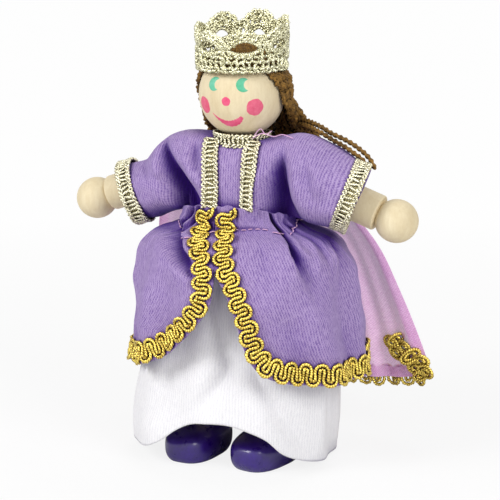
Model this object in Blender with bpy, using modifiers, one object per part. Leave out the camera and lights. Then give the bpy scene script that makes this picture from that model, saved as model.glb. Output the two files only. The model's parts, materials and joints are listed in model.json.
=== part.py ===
"""A dressed wooden doll: a queen with a ball head, bending limbs, a gathered robe, a cape and a crown.

The doll faces -Y, its left hand is at +X and its soles stand on Z = 0. All sizes are in metres.
"""
import math

import bmesh
import bpy
from mathutils import Vector

MM = 0.001
OBJECT_NAME = "dressed_wooden_doll"

# Clearances
FIT_GAP = 0.3 * MM                  # between pieces that seat on each other
LAYER_GAP = 0.5 * MM                # between a layer of cloth or braid and what it lies on
WELD = 0.01 * MM

# Head, neck and torso
HEAD_DIAMETER = 20.0 * MM
NECK_PEG_DIAMETER = 5.0 * MM
NECK_PEG_DEPTH = 7.0 * MM           # how far the peg reaches into the head and into the torso
NECK_LENGTH = 4.2 * MM              # from the top of the torso to the underside of the head
TORSO_DIAMETER = 13.0 * MM
TORSO_WAIST_DIAMETER = 11.6 * MM
TORSO_HEIGHT = 29.0 * MM
TORSO_EDGE = 1.8 * MM

# Covered wire limbs and the bare wire ends in them
CORD_DIAMETER = 3.2 * MM
WIRE_DIAMETER = 1.2 * MM
DISH_HALF_ANGLE = math.radians(75)  # shallow seat of a cord end in a bead
HIP_DISH_HALF_ANGLE = math.radians(45)

# Arms
SHOULDER_DROP = 2.5 * MM            # shoulder pivot below the top of the torso
ARM_SLOPE = math.radians(19.5)      # how far the arm points below level
UPPER_ARM_LENGTH = 12.5 * MM        # shoulder pivot to elbow pivot
FOREARM_DIAMETER = 8.4 * MM
FOREARM_LENGTH = 13.0 * MM
HAND_DIAMETER = 10.0 * MM
HAND_SEAT_DIAMETER = 4.0 * MM       # flat on the ball where the forearm bead meets it
HAND_WIRE_DEPTH = 5.0 * MM
SHOULDER_PIN_DEPTH = 3.0 * MM
BEAD_EDGE = 1.0 * MM

# Legs
HIP_SPREAD = 7.2 * MM               # between the two hip pivots
FOOT_SPREAD = 18.0 * MM             # between the two ankles
THIGH_LENGTH = 17.5 * MM            # hip pivot to knee pivot
SHIN_DIAMETER = 8.6 * MM
SHIN_LENGTH = 15.0 * MM
HIP_SEAT = 0.8 * MM                 # hip pivot below the underside of the torso
HIP_PIN_DEPTH = 6.0 * MM
SHOE_LENGTH = 20.0 * MM
SHOE_WIDTH = 10.4 * MM
SHOE_HEIGHT = 9.0 * MM
SHOE_HEEL = 6.0 * MM                # from the ankle back to the heel
SHOE_TOE_DROP = 0.26                # share of its height that the shoe loses towards the toe
SHOE_DROP_START = 0.35              # where that starts, in half-lengths behind the middle
SHOE_WIDEST = 0.4                   # share of its height where the shoe is widest
SHOE_BOXINESS = 0.72                # 1 is a plain oval, less is boxier
SHOE_WIRE_DEPTH = 4.0 * MM

# Hair and crown
HAIR_THICKNESS = 1.0 * MM
HAIR_TOP_ANGLE = math.radians(10)   # half-angle of the small round parting on top
HAIR_LOW_ANGLE = math.radians(110)  # where the hair on the head ends, from straight up
FACE_OPENING_WIDTH = 14.0 * MM
FACE_OPENING_TOP = 5.4 * MM         # above the middle of the head
FACE_OPENING_BACK = 1.0 * MM        # hairline beside the cheeks, behind the middle of the head
HAIR_FALL_THICKNESS = 1.4 * MM
HAIR_FALL_LENGTH = 18.0 * MM        # below the top of the cape
HAIR_FALL_HALF_ANGLE = math.radians(80)
HAIRLINE_HALF_ANGLE = math.radians(124)  # from the middle of the back to the hairline under the crown
HAIR_FALL_SPREAD = 3.0 * MM         # how much wider each side of the hair is at its ends
HAIR_FALL_CURVE = 0.4 * MM          # how far its sides come forward where it lies on the cape
HAIR_FALL_LOFT = 0.9 * MM           # between the falling hair and the cape under it
CROWN_THICKNESS = 0.8 * MM
CROWN_BAND = 7.6 * MM               # height at the dips between two scallops
CROWN_SCALLOP = 2.4 * MM
CROWN_BACK_RISE = 2.3 * MM          # how much taller the crown is behind
CROWN_SCALLOPS = 7
CROWN_SCALLOP_COLUMNS = 6
CROWN_SEAT = 5.7 * MM               # lower edge above the middle of the head
CROWN_FLARE = 0.4 * MM
CROWN_HOLE_WIDTH = 7.2 * MM
CROWN_HOLE_HEIGHT = 2.8 * MM
CROWN_HOLE_LIFT = 6.0 * MM          # middle of each opening above the lower edge

# Cloth
CLOTH = 0.8 * MM
MAIN_FOLD = 0.65                    # share of a skirt's folds that is even; the rest makes them uneven
BODICE_EASE_SIDE = 4.4 * MM
BODICE_EASE_FRONT = 1.1 * MM
CHEST_FULLNESS = 1.2 * MM
COLLAR_RADIUS = 5.2 * MM
SHOULDER_RISE = 1.8 * MM            # shoulder cloth above the top of the torso
SHOULDER_ROUND = 0.35               # where the shoulder cloth is highest, from collar 0 to chest 1
WAIST_DROP = 13.5 * MM              # gathered waist below the top of the torso
UNDERSKIRT_DROP = 14.8 * MM
ARMHOLE_RADIUS = 5.0 * MM
SLEEVE_ROOT_RADIUS = 7.0 * MM
SLEEVE_CUFF_RADIUS = 8.3 * MM
SLEEVE_LENGTH = 22.4 * MM           # shoulder pivot to cuff
SLEEVE_SAG = 0.8 * MM                # above the arm at the shoulder, below it at the cuff
SLEEVE_MIN_START = 2.0 * MM
SLEEVE_RIPPLE = 0.35 * MM
SLEEVE_RIPPLES = 7
CUFF_TILT = 0.14                    # how far the cuff leans out at the top, per unit of height
SKIRT_BACK_SHIFT = 1.5 * MM
UNDERSKIRT_SIDE = 25.2 * MM
UNDERSKIRT_FRONT = 23.0 * MM
UNDERSKIRT_LEAN = 1.0 * MM          # how far its hem hangs towards the doll's right
UNDERSKIRT_LEAN_POWER = 4           # the lean starts low down
UNDERSKIRT_HEM = 1.3 * MM
UNDERSKIRT_ARCH = 13.4 * MM         # rise of the hem over the shoes
UNDERSKIRT_ARCH_ANGLE = math.radians(62)
UNDERSKIRT_ARCH_POWER = 1.5         # 1 is a plain arch, more is narrower at its top
UNDERSKIRT_FLARE = 2.4
UNDERSKIRT_FOLD = 0.035
UNDERSKIRT_FOLDS = 9
OVERSKIRT_STANDOFF_LEFT = 6.2 * MM  # outside the underskirt at the overskirt's hem
OVERSKIRT_STANDOFF_RIGHT = 3.3 * MM
OVERSKIRT_STANDOFF_FRONT = 3.0 * MM
OVERSKIRT_WAIST_EASE = 1.2 * MM
OVERSKIRT_HEADER = 5.0 * MM         # ruffle above the gathering stitches, in front
OVERSKIRT_HEADER_SIDE = 2.2 * MM    # the same under the arms
OVERSKIRT_HEADER_FLARE = 1.2 * MM
OVERSKIRT_LENGTH = 33.0 * MM
OVERSKIRT_FLARE_SIDE = 8.0
OVERSKIRT_FLARE_FRONT = 3.4
OVERSKIRT_STRAIGHTNESS = 0.25       # share of the sides' flare that is even from waist to hem
OVERSKIRT_CROWDING = 1.6            # 1 spaces the rows of faces evenly, more crowds them to the waist
OVERSKIRT_FOLD = 0.034
OVERSKIRT_FOLDS = 11
# For each front panel: edge angle from straight ahead at the waist and at the corner, rise of the corner
# and reach of that rise
LEFT_PANEL = (math.radians(-3.5), math.radians(22), 6.2 * MM, math.radians(26))
RIGHT_PANEL = (math.radians(13.5), math.radians(-4), 14.0 * MM, math.radians(64))
PANEL_FLARE = 2.5
CAPE_STANDOFF = 1.3 * MM
CAPE_NECK_HALF_WIDTH = 9.0 * MM
CAPE_HEM_HALF_WIDTH = 38.0 * MM
CAPE_SHOULDER_FLARE = 4.5
CAPE_HEM = 14.0 * MM
CAPE_SIDE_FORWARD = 5.0 * MM
CAPE_STRAIGHTNESS = 0.35            # 0 spreads mostly at the shoulders, 1 evenly down to the hem
CAPE_BELL = (0.3, 0.6, 1.0)         # where it lies on the overskirt, as shares of that length
CAPE_FOLD = 1.0 * MM
CAPE_FOLDS = 5

# Braid
BRAID = 0.8 * MM
SILVER_WIDTH = 3.4 * MM
GOLD_WIDTH = 4.4 * MM
GOLD_OVERHANG = 0.8 * MM            # how far the gold braid's loops stand past the cloth's edge
CHEST_STRIP_ANGLE = math.radians(24)
CHEST_TURN = math.radians(6)        # the robe's front sits a little to the doll's left

# Facets
BALL_STEPS = 28
TORSO_STEPS = 20
TORSO_WAIST_POINTS = 4
BEAD_STEPS = 16
CORD_STEPS = 12
ARC_POINTS = 3
HEAD_ARC_POINTS = 14
HAND_ARC_POINTS = 9
HAIR_ARC_POINTS = 7
BODICE_COLUMNS = 28
SLEEVE_COLUMNS = 22
SKIRT_COLUMNS = 60
CAPE_COLUMNS = 26
GOLD_BRAID_STEPS = 48
HEIGHT_STEP = 0.25 * MM             # small steps that a surface's slope is read over
ANGLE_STEP = 0.01

# Worked out from the sizes above
HEAD_R = HEAD_DIAMETER / 2
TORSO_R = TORSO_DIAMETER / 2
CORD_R = CORD_DIAMETER / 2
WIRE_R = WIRE_DIAMETER / 2
WIRE_BORE = WIRE_R + FIT_GAP
LEFT, RIGHT = 1, -1
SIDES = ((LEFT, "left"), (RIGHT, "right"))


def seat_rim(rim_radius, half_angle):
    """Distance from a cord's pivot to the rim of the dish that its round end sits in."""
    apex = (CORD_R + FIT_GAP) / math.sin(half_angle)
    return apex - rim_radius / math.tan(half_angle)


FOREARM_RIM = seat_rim(FOREARM_DIAMETER / 2 - BEAD_EDGE, DISH_HALF_ANGLE)
SHIN_RIM = seat_rim(SHIN_DIAMETER / 2 - BEAD_EDGE, DISH_HALF_ANGLE)
HAND_SEAT_HEIGHT = math.sqrt((HAND_DIAMETER / 2) ** 2 - (HAND_SEAT_DIAMETER / 2) ** 2)
HAND_PLACE = FOREARM_RIM + FOREARM_LENGTH + FIT_GAP + HAND_SEAT_HEIGHT

# The leg runs straight from the hip pivot to the ankle, leaning out a little
LEG_LEAN = math.asin((FOOT_SPREAD - HIP_SPREAD) / 2 / (THIGH_LENGTH + SHIN_RIM + SHIN_LENGTH))
ANKLE_GAP = FIT_GAP + (SHIN_DIAMETER / 2 - BEAD_EDGE) * math.tan(LEG_LEAN)
SHIN_REACH = SHIN_RIM + SHIN_LENGTH + ANKLE_GAP
LEG_LENGTH = THIGH_LENGTH + SHIN_REACH
HIP_Z = SHOE_HEIGHT + LEG_LENGTH * math.cos(LEG_LEAN)
HIP_X = FOOT_SPREAD / 2 - LEG_LENGTH * math.sin(LEG_LEAN)
TORSO_BOTTOM = HIP_Z + HIP_SEAT
TORSO_TOP = TORSO_BOTTOM + TORSO_HEIGHT
SHOULDER_Z = TORSO_TOP - SHOULDER_DROP
SHOULDER_X = TORSO_R + FIT_GAP + CORD_R
HEAD_Z = TORSO_TOP + NECK_LENGTH + HEAD_R

WAIST_Z = TORSO_TOP - WAIST_DROP - LAYER_GAP
UNDERSKIRT_TOP = TORSO_TOP - UNDERSKIRT_DROP - LAYER_GAP
BODICE_BOTTOM = UNDERSKIRT_TOP + LAYER_GAP
GATHER_Z = WAIST_Z - OVERSKIRT_HEADER / 2
HEADER_TOP = GATHER_Z + OVERSKIRT_HEADER
OVERSKIRT_HEM = GATHER_Z - OVERSKIRT_LENGTH
COLLAR_BOTTOM = TORSO_TOP + SHOULDER_RISE + LAYER_GAP
NECK_BRAID_R = COLLAR_RADIUS + LAYER_GAP
NECK_BRAID_TOP = HEAD_Z - math.sqrt(HEAD_R ** 2 - NECK_BRAID_R ** 2) - FIT_GAP
COLLAR_TOP = NECK_BRAID_TOP - 2 * LAYER_GAP


def clear_scene():
    for item in list(bpy.data.objects):
        bpy.data.objects.remove(item)


def new_collection(name):
    collection = bpy.data.collections.new(name)
    bpy.context.scene.collection.children.link(collection)
    return collection


def material(name, colour, roughness, metallic=0.0):
    mat = bpy.data.materials.new(name)
    mat.use_nodes = True
    shader = mat.node_tree.nodes["Principled BSDF"]
    shader.inputs["Base Color"].default_value = (*colour, 1.0)
    shader.inputs["Roughness"].default_value = roughness
    shader.inputs["Metallic"].default_value = metallic
    return mat


clear_scene()
PARTS = new_collection(OBJECT_NAME)
CUTTERS = new_collection("cutters")

FINISH = {
    "wood": ((0.80, 0.68, 0.47), 0.45, 0.0),
    "torso_wood": ((0.70, 0.52, 0.31), 0.55, 0.0),
    "shoe_paint": ((0.05, 0.02, 0.18), 0.15, 0.0),
    "cord": ((0.75, 0.66, 0.50), 0.9, 0.0),
    "wire": ((0.55, 0.55, 0.56), 0.35, 1.0),
    "hair": ((0.14, 0.08, 0.03), 0.8, 0.0),
    "crown_lace": ((0.80, 0.68, 0.36), 0.35, 0.8),
    "robe": ((0.33, 0.22, 0.60), 0.7, 0.0),
    "underskirt": ((0.90, 0.89, 0.90), 0.8, 0.0),
    "gauze": ((0.72, 0.45, 0.66), 0.8, 0.0),
    "silver_braid": ((0.78, 0.76, 0.60), 0.35, 0.8),
    "gold_braid": ((0.70, 0.45, 0.10), 0.35, 0.8),
}


def add_part(name, mesh, finish, parent=None, smooth_angle=math.radians(40)):
    """A named piece with its own material, placed in the frame of its parent empty."""
    part = bpy.data.objects.new(name, mesh)
    mesh.materials.append(material(name, *FINISH[finish]))
    mesh.shade_smooth()
    mesh.set_sharp_from_angle(angle=smooth_angle)
    PARTS.objects.link(part)
    part.parent = parent
    return part


def add_pivot(name, place, turn_y=0.0, parent=None):
    """An empty on a joint's axis; its -Z points along the limb that it carries."""
    pivot = bpy.data.objects.new(name, None)
    pivot.empty_display_size = 4 * MM
    PARTS.objects.link(pivot)
    pivot.location = place
    pivot.rotation_euler = (0.0, turn_y, 0.0)
    pivot.parent = parent
    return pivot


def arc(middle_r, middle_z, radius, start, end, count=ARC_POINTS):
    """Points (r, z) on an arc; its angles run from straight up towards the outside."""
    points = []
    for index in range(count + 1):
        angle = start + (end - start) * index / count
        points.append((middle_r + radius * math.sin(angle), middle_z + radius * math.cos(angle)))
    return points


def turned_mesh(name, outline, closed):
    mesh = bpy.data.meshes.new(name)
    edges = [(index, index + 1) for index in range(len(outline) - 1)]
    if closed:
        edges.append((len(outline) - 1, 0))
    mesh.from_pydata([(max(r, 0.0), 0.0, z) for r, z in outline], edges, [])
    return mesh


def turned(name, outline, finish, parent=None, steps=BEAD_STEPS, closed=False):
    """A turned piece: an outline (r, z) that runs down its outer side, swept round Z."""
    part = add_part(name, turned_mesh(name, outline, closed), finish, parent)
    screw = part.modifiers.new("turn", 'SCREW')
    screw.axis = 'Z'
    screw.angle = 2 * math.pi
    screw.steps = steps
    screw.render_steps = steps
    screw.use_merge_vertices = True
    screw.merge_threshold = WELD
    screw.use_smooth_shade = True
    return part


def cut(part, cutter_mesh, place, turn=(0.0, 0.0, 0.0), parent=None):
    """Cuts one shape out of a part; the cutter stays in the scene as a wire guide."""
    cutter = bpy.data.objects.new(part.name + "_cutter", cutter_mesh)
    CUTTERS.objects.link(cutter)
    cutter.location = place
    cutter.rotation_euler = turn
    cutter.parent = parent
    cutter.hide_render = True
    cutter.display_type = 'WIRE'
    boolean = part.modifiers.new("cut", 'BOOLEAN')
    boolean.operation = 'DIFFERENCE'
    boolean.solver = 'EXACT'
    boolean.object = cutter
    return cutter


def cone_mesh(low_radius, high_radius, height, steps=CORD_STEPS):
    """A closed cone or cylinder that stands on Z = 0."""
    shape = bmesh.new()
    bmesh.ops.create_cone(shape, cap_ends=True, segments=steps, radius1=low_radius,
                          radius2=high_radius, depth=height)
    bmesh.ops.translate(shape, verts=shape.verts, vec=(0.0, 0.0, height / 2))
    mesh = bpy.data.meshes.new("cone")
    shape.to_mesh(mesh)
    shape.free()
    return mesh


def sheet(name, columns, rows, surface, finish, parent=None, closed=False, thickness=CLOTH, outward=-1):
    """Cloth or braid: a grid placed by surface(u, v), u anticlockwise from above and v upwards."""
    shape = bmesh.new()
    bmesh.ops.create_grid(shape, x_segments=columns, y_segments=rows, size=0.5)
    for vert in shape.verts:
        vert.co = surface(vert.co.x + 0.5, vert.co.y + 0.5)
    if closed:
        bmesh.ops.remove_doubles(shape, verts=shape.verts, dist=WELD)
    mesh = bpy.data.meshes.new(name)
    shape.to_mesh(mesh)
    shape.free()
    part = add_part(name, mesh, finish, parent, smooth_angle=math.radians(70))
    shell = part.modifiers.new("thickness", 'SOLIDIFY')
    shell.thickness = thickness
    shell.offset = outward
    return part


def mix(start, end, share):
    return start + (end - start) * share


def ease_in(share):
    """Runs from 0 to 1 with no slope at either end."""
    share = min(max(share, 0.0), 1.0)
    return share * share * (3 - 2 * share)


def flare(share, power):
    """Runs from 0 to 1, steep at first and level at the end, as gathered cloth falls."""
    return 1 - (1 - min(max(share, 0.0), 1.0)) ** power


def through_knots(knots, height):
    """A smooth curve through (height, value, ...) knots, read at one height."""
    knots = sorted(knots)
    height = min(max(height, knots[0][0]), knots[-1][0])
    for low, high in zip(knots, knots[1:]):
        if height <= high[0]:
            share = ease_in((height - low[0]) / (high[0] - low[0]))
            return [mix(a, b, share) for a, b in zip(low[1:], high[1:])]


def oval(side, front, angle, height, back_shift=0.0):
    """A point on a level oval; the angle is 0 straight ahead and grows to the doll's left."""
    return Vector((side * math.sin(angle), back_shift - front * math.cos(angle), height))


def lifted(surface, u, v, distance, step_v, step_u=0.002):
    """A point that lies off a surface(u, v), along its outward normal."""
    along = surface(u + step_u, v) - surface(u - step_u, v)
    up = surface(u, v + step_v) - surface(u, v - step_v)
    return surface(u, v) + along.cross(up).normalized() * distance


# Wooden body

def build_torso():
    hole = NECK_PEG_DIAMETER / 2 + FIT_GAP
    outline = [(0.0, TORSO_TOP - NECK_PEG_DEPTH - FIT_GAP), (hole, TORSO_TOP - NECK_PEG_DEPTH - FIT_GAP),
               (hole, TORSO_TOP)]
    outline += arc(TORSO_R - TORSO_EDGE, TORSO_TOP - TORSO_EDGE, TORSO_EDGE, 0, math.pi / 2)
    straight = TORSO_HEIGHT - 2 * TORSO_EDGE
    for index in range(1, TORSO_WAIST_POINTS):
        share = index / TORSO_WAIST_POINTS
        dip = (TORSO_DIAMETER - TORSO_WAIST_DIAMETER) / 2 * math.sin(math.pi * share) ** 2
        outline.append((TORSO_R - dip, TORSO_TOP - TORSO_EDGE - straight * share))
    edge = TORSO_EDGE / 2
    outline += arc(TORSO_R - edge, TORSO_BOTTOM + edge, edge, math.pi / 2, math.pi)
    outline.append((0.0, TORSO_BOTTOM))
    torso = turned("torso_block", outline, "torso_wood", steps=TORSO_STEPS)
    dish_depth = (CORD_R + FIT_GAP) / math.sin(HIP_DISH_HALF_ANGLE)
    for side in (LEFT, RIGHT):
        pin_hole = cone_mesh(WIRE_BORE, WIRE_BORE, SHOULDER_PIN_DEPTH + TORSO_R)
        start = side * (TORSO_R - SHOULDER_PIN_DEPTH - FIT_GAP)
        cut(torso, pin_hole, (start, 0.0, SHOULDER_Z), (0.0, side * math.pi / 2, 0.0))
        dish = cone_mesh(dish_depth * 2 * math.tan(HIP_DISH_HALF_ANGLE), 0.0, dish_depth * 2, BEAD_STEPS)
        cut(torso, dish, (side * HIP_X, 0.0, HIP_Z - dish_depth))
        hip_hole = cone_mesh(WIRE_BORE, WIRE_BORE, CORD_R + FIT_GAP + HIP_PIN_DEPTH + FIT_GAP)
        cut(torso, hip_hole, (side * HIP_X, 0.0, HIP_Z))


def rod(name, radius, top, bottom, parent=None, finish="wire"):
    outline = [(0.0, top), (radius, top), (radius, bottom), (0.0, bottom)]
    return turned(name, outline, finish, parent, CORD_STEPS)


def build_body_pins():
    for side, word in SIDES:
        pin = rod("shoulder_pin_" + word, WIRE_R, SHOULDER_PIN_DEPTH, 0.0)
        pin.location = (side * (TORSO_R - SHOULDER_PIN_DEPTH), 0.0, SHOULDER_Z)
        pin.rotation_euler = (0.0, side * math.pi / 2, 0.0)
        low = HIP_Z + CORD_R + 2 * FIT_GAP
        pin = rod("hip_pin_" + word, WIRE_R, low + HIP_PIN_DEPTH - FIT_GAP, low)
        pin.location = (side * HIP_X, 0.0, 0.0)


def build_neck_peg():
    radius = NECK_PEG_DIAMETER / 2
    chamfer = radius / 5
    top = TORSO_TOP + NECK_LENGTH + NECK_PEG_DEPTH
    bottom = TORSO_TOP - NECK_PEG_DEPTH
    outline = [(0.0, top), (radius - chamfer, top), (radius, top - chamfer),
               (radius, bottom + chamfer), (radius - chamfer, bottom), (0.0, bottom)]
    turned("neck_peg", outline, "torso_wood")


def build_head(pivot):
    hole = NECK_PEG_DIAMETER / 2 + FIT_GAP
    floor = -HEAD_R + NECK_PEG_DEPTH + FIT_GAP
    outline = arc(0.0, 0.0, HEAD_R, 0.0, math.pi - math.asin(hole / HEAD_R), HEAD_ARC_POINTS)
    outline += [(hole, floor), (0.0, floor)]
    turned("head_ball", outline, "wood", pivot, BALL_STEPS)


# Limbs

def cord(name, length, parent):
    """Covered wire with a round end at each pivot."""
    outline = arc(0.0, 0.0, CORD_R, 0.0, math.pi / 2) + arc(0.0, -length, CORD_R, math.pi / 2, math.pi)
    turned(name, outline, "cord", parent, CORD_STEPS)


def bead(name, diameter, length, rim, parent):
    """A wooden bead, bored along its length, dished at the top for the end of a cord."""
    radius = diameter / 2
    top, bottom = -rim, -rim - length
    apex = (CORD_R + FIT_GAP) / math.sin(DISH_HALF_ANGLE)
    outline = arc(radius - BEAD_EDGE, top - BEAD_EDGE, BEAD_EDGE, 0.0, math.pi / 2)
    outline += arc(radius - BEAD_EDGE, bottom + BEAD_EDGE, BEAD_EDGE, math.pi / 2, math.pi)
    outline += [(WIRE_BORE, bottom), (WIRE_BORE, -apex + WIRE_BORE / math.tan(DISH_HALF_ANGLE))]
    turned(name, outline, "wood", parent, closed=True)


def build_hand(word, elbow):
    radius = HAND_DIAMETER / 2
    seat = HAND_SEAT_DIAMETER / 2
    floor = HAND_SEAT_HEIGHT - HAND_WIRE_DEPTH - FIT_GAP
    outline = [(0.0, floor), (WIRE_BORE, floor), (WIRE_BORE, HAND_SEAT_HEIGHT)]
    outline += arc(0.0, 0.0, radius, math.asin(seat / radius), math.pi, HAND_ARC_POINTS)
    hand = turned("hand_" + word, outline, "wood", elbow, BEAD_STEPS)
    hand.location = (0.0, 0.0, -HAND_PLACE)


def build_arm(word, shoulder, elbow):
    cord("upper_arm_" + word, UPPER_ARM_LENGTH, shoulder)
    bead("forearm_" + word, FOREARM_DIAMETER, FOREARM_LENGTH, FOREARM_RIM, elbow)
    wire_top = CORD_R + 2 * FIT_GAP
    wire_end = FOREARM_RIM + FOREARM_LENGTH + FIT_GAP + HAND_WIRE_DEPTH
    rod("forearm_wire_" + word, WIRE_R, -wire_top, -wire_end, elbow)
    build_hand(word, elbow)


def shoe_mesh(name):
    """A rounded wooden shoe: a boxy ball, lower towards the toe, cut flat at the sole."""
    shape = bmesh.new()
    bmesh.ops.create_uvsphere(shape, u_segments=24, v_segments=12, radius=1.0)
    middle_y = SHOE_HEEL - SHOE_LENGTH / 2
    middle_z = SHOE_HEIGHT * SHOE_WIDEST
    half_height = SHOE_HEIGHT - middle_z
    for vert in shape.verts:
        x, y, z = [math.copysign(abs(value) ** SHOE_BOXINESS, value) for value in vert.co]
        drop = 1 - SHOE_TOE_DROP * ease_in((SHOE_DROP_START - y) / (1 + SHOE_DROP_START))
        height = half_height * (drop if z > 0 else 1.0)
        vert.co = (x * SHOE_WIDTH / 2, middle_y + y * SHOE_LENGTH / 2, middle_z + z * height)
    everything = list(shape.verts) + list(shape.edges) + list(shape.faces)
    bmesh.ops.bisect_plane(shape, geom=everything, plane_co=(0, 0, 0), plane_no=(0, 0, 1), clear_inner=True)
    bmesh.ops.holes_fill(shape, edges=[edge for edge in shape.edges if edge.is_boundary])
    mesh = bpy.data.meshes.new(name)
    shape.to_mesh(mesh)
    shape.free()
    return mesh


def build_leg(side, word, hip, knee):
    cord("thigh_" + word, THIGH_LENGTH, hip)
    bead("shin_" + word, SHIN_DIAMETER, SHIN_LENGTH, SHIN_RIM, knee)
    wire_top = CORD_R + 2 * FIT_GAP
    rod("shin_wire_" + word, WIRE_R, -wire_top, -SHIN_REACH - SHOE_WIRE_DEPTH, knee)
    ankle = Vector((0.0, 0.0, -SHIN_REACH))
    upright = side * LEG_LEAN
    shoe = add_part("shoe_" + word, shoe_mesh("shoe_" + word), "shoe_paint", knee)
    shoe.rotation_euler = (0.0, upright, 0.0)
    down = Vector((-math.sin(upright), 0.0, -math.cos(upright)))
    shoe.location = ankle + down * SHOE_HEIGHT
    hole = cone_mesh(WIRE_BORE, WIRE_BORE, SHOE_WIRE_DEPTH + FIT_GAP + SHOE_HEIGHT)
    cut(shoe, hole, ankle - Vector((0.0, 0.0, SHOE_WIRE_DEPTH + FIT_GAP)), parent=knee)


# Hair and crown

HAIR_INNER = HEAD_R + FIT_GAP
HAIR_OUTER = HAIR_INNER + HAIR_THICKNESS
CROWN_INNER = math.sqrt(HAIR_OUTER ** 2 - CROWN_SEAT ** 2) + FIT_GAP
CROWN_R = CROWN_INNER + CROWN_THICKNESS


def face_opening_mesh():
    """An upright arch, the outline of the face, pushed through the front of the hair."""
    half = FACE_OPENING_WIDTH / 2
    low = -2 * HAIR_OUTER
    wide = HAIR_OUTER * 1.2
    shoulder = FACE_OPENING_TOP - half
    points = [(wide, low), (wide, shoulder - half)]
    points += [(half * math.cos(angle), shoulder + half * math.sin(angle))
               for angle in (math.pi * index / 10 for index in range(11))]
    points += [(-wide, shoulder - half), (-wide, low)]
    outline = bpy.data.curves.new("face_outline", 'CURVE')
    outline.dimensions = '2D'
    outline.fill_mode = 'BOTH'
    outline.extrude = HAIR_OUTER
    spline = outline.splines.new('POLY')
    spline.points.add(len(points) - 1)
    for point, (x, z) in zip(spline.points, points):
        point.co = (x, z, 0.0, 1.0)
    spline.use_cyclic_u = True
    guide = bpy.data.objects.new("face_outline", outline)
    CUTTERS.objects.link(guide)
    depsgraph = bpy.context.evaluated_depsgraph_get()
    mesh = bpy.data.meshes.new_from_object(guide.evaluated_get(depsgraph))
    bpy.data.objects.remove(guide)
    shape = bmesh.new()
    shape.from_mesh(mesh)
    bmesh.ops.remove_doubles(shape, verts=shape.verts, dist=WELD)
    bmesh.ops.recalc_face_normals(shape, faces=shape.faces)
    shape.to_mesh(mesh)
    shape.free()
    return mesh


def build_hair_cap(head):
    outline = arc(0.0, 0.0, HAIR_OUTER, HAIR_TOP_ANGLE, HAIR_LOW_ANGLE, HAIR_ARC_POINTS)
    outline += arc(0.0, 0.0, HAIR_INNER, HAIR_LOW_ANGLE, HAIR_TOP_ANGLE, HAIR_ARC_POINTS)
    cap = turned("hair_cap", outline, "hair", head, BALL_STEPS, closed=True)
    front = (0.0, FACE_OPENING_BACK - HAIR_OUTER, 0.0)
    cut(cap, face_opening_mesh(), front, (math.pi / 2, 0.0, 0.0), head)


def crown_hole_mesh():
    """Lens-shaped cutters for all the openings of the crown, one under each scallop."""
    shape = bmesh.new()
    for index in range(CROWN_SCALLOPS):
        angle = 2 * math.pi * (index + 0.5) / CROWN_SCALLOPS
        ball = bmesh.ops.create_uvsphere(shape, u_segments=10, v_segments=4, radius=1.0)["verts"]
        for vert in ball:
            across = vert.co.x * CROWN_HOLE_WIDTH / 2 / CROWN_R
            depth = CROWN_R + vert.co.y * CROWN_THICKNESS * 3
            height = CROWN_SEAT + CROWN_HOLE_LIFT + vert.co.z * CROWN_HOLE_HEIGHT / 2
            vert.co = oval(depth, depth, angle + across, height)
    bmesh.ops.recalc_face_normals(shape, faces=shape.faces)
    mesh = bpy.data.meshes.new("crown_holes")
    shape.to_mesh(mesh)
    shape.free()
    return mesh


def build_crown(head):
    def surface(u, v):
        angle = 2 * math.pi * u
        rise = CROWN_BAND + CROWN_SCALLOP * abs(math.sin(CROWN_SCALLOPS * angle / 2))
        rise += CROWN_BACK_RISE * (1 - math.cos(angle)) / 2
        radius = CROWN_R + CROWN_FLARE * v
        return oval(radius, radius, angle, CROWN_SEAT + rise * v)

    columns = CROWN_SCALLOP_COLUMNS * CROWN_SCALLOPS
    crown = sheet("crown", columns, 2, surface, "crown_lace", head, closed=True, thickness=CROWN_THICKNESS)
    cut(crown, crown_hole_mesh(), (0.0, 0.0, 0.0), parent=head)


# Robe

def bodice_knots():
    """Heights of the bodice, from waist to collar, with its half-width and half-depth there."""
    waist_side = TORSO_R + CLOTH + BODICE_EASE_SIDE
    waist_front = TORSO_R + CLOTH + BODICE_EASE_FRONT
    chest_side = waist_side + CHEST_FULLNESS
    shoulder = TORSO_TOP + SHOULDER_RISE
    return [(BODICE_BOTTOM, waist_side, waist_front),
            (SHOULDER_Z - ARMHOLE_RADIUS, chest_side - CHEST_FULLNESS / 3,
             waist_front + BODICE_EASE_FRONT / 3),
            (SHOULDER_Z, chest_side, waist_front + BODICE_EASE_FRONT / 4),
            (mix(SHOULDER_Z, shoulder, 0.5), chest_side - CHEST_FULLNESS / 5, waist_front),
            (shoulder, mix(COLLAR_RADIUS, chest_side, SHOULDER_ROUND),
             mix(COLLAR_RADIUS, waist_front, SHOULDER_ROUND)),
            (COLLAR_BOTTOM, COLLAR_RADIUS, COLLAR_RADIUS),
            (COLLAR_TOP, COLLAR_RADIUS, COLLAR_RADIUS)]


def bodice_size(height):
    """Half-width and half-depth of the bodice's outside at one height."""
    return through_knots(bodice_knots(), height)


def bodice_round(u, height):
    side, front = bodice_size(height)
    return oval(side, front, 2 * math.pi * u, height)


def build_bodice():
    knots = bodice_knots()
    halves = 2
    heights = [mix(low[0], high[0], part / halves)
               for low, high in zip(knots, knots[1:-1]) for part in range(halves)]
    heights += [COLLAR_BOTTOM, COLLAR_TOP]

    def surface(u, v):
        return bodice_round(u, heights[round(v * (len(heights) - 1))])

    bodice = sheet("robe_bodice", BODICE_COLUMNS, len(heights) - 1, surface, "robe", closed=True)
    for side in (LEFT, RIGHT):
        hole = cone_mesh(ARMHOLE_RADIUS, ARMHOLE_RADIUS, UPPER_ARM_LENGTH, BEAD_STEPS)
        turn = side * (math.pi / 2 + ARM_SLOPE)
        cut(bodice, hole, (side * SHOULDER_X, 0.0, SHOULDER_Z), (0.0, turn, 0.0))


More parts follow.
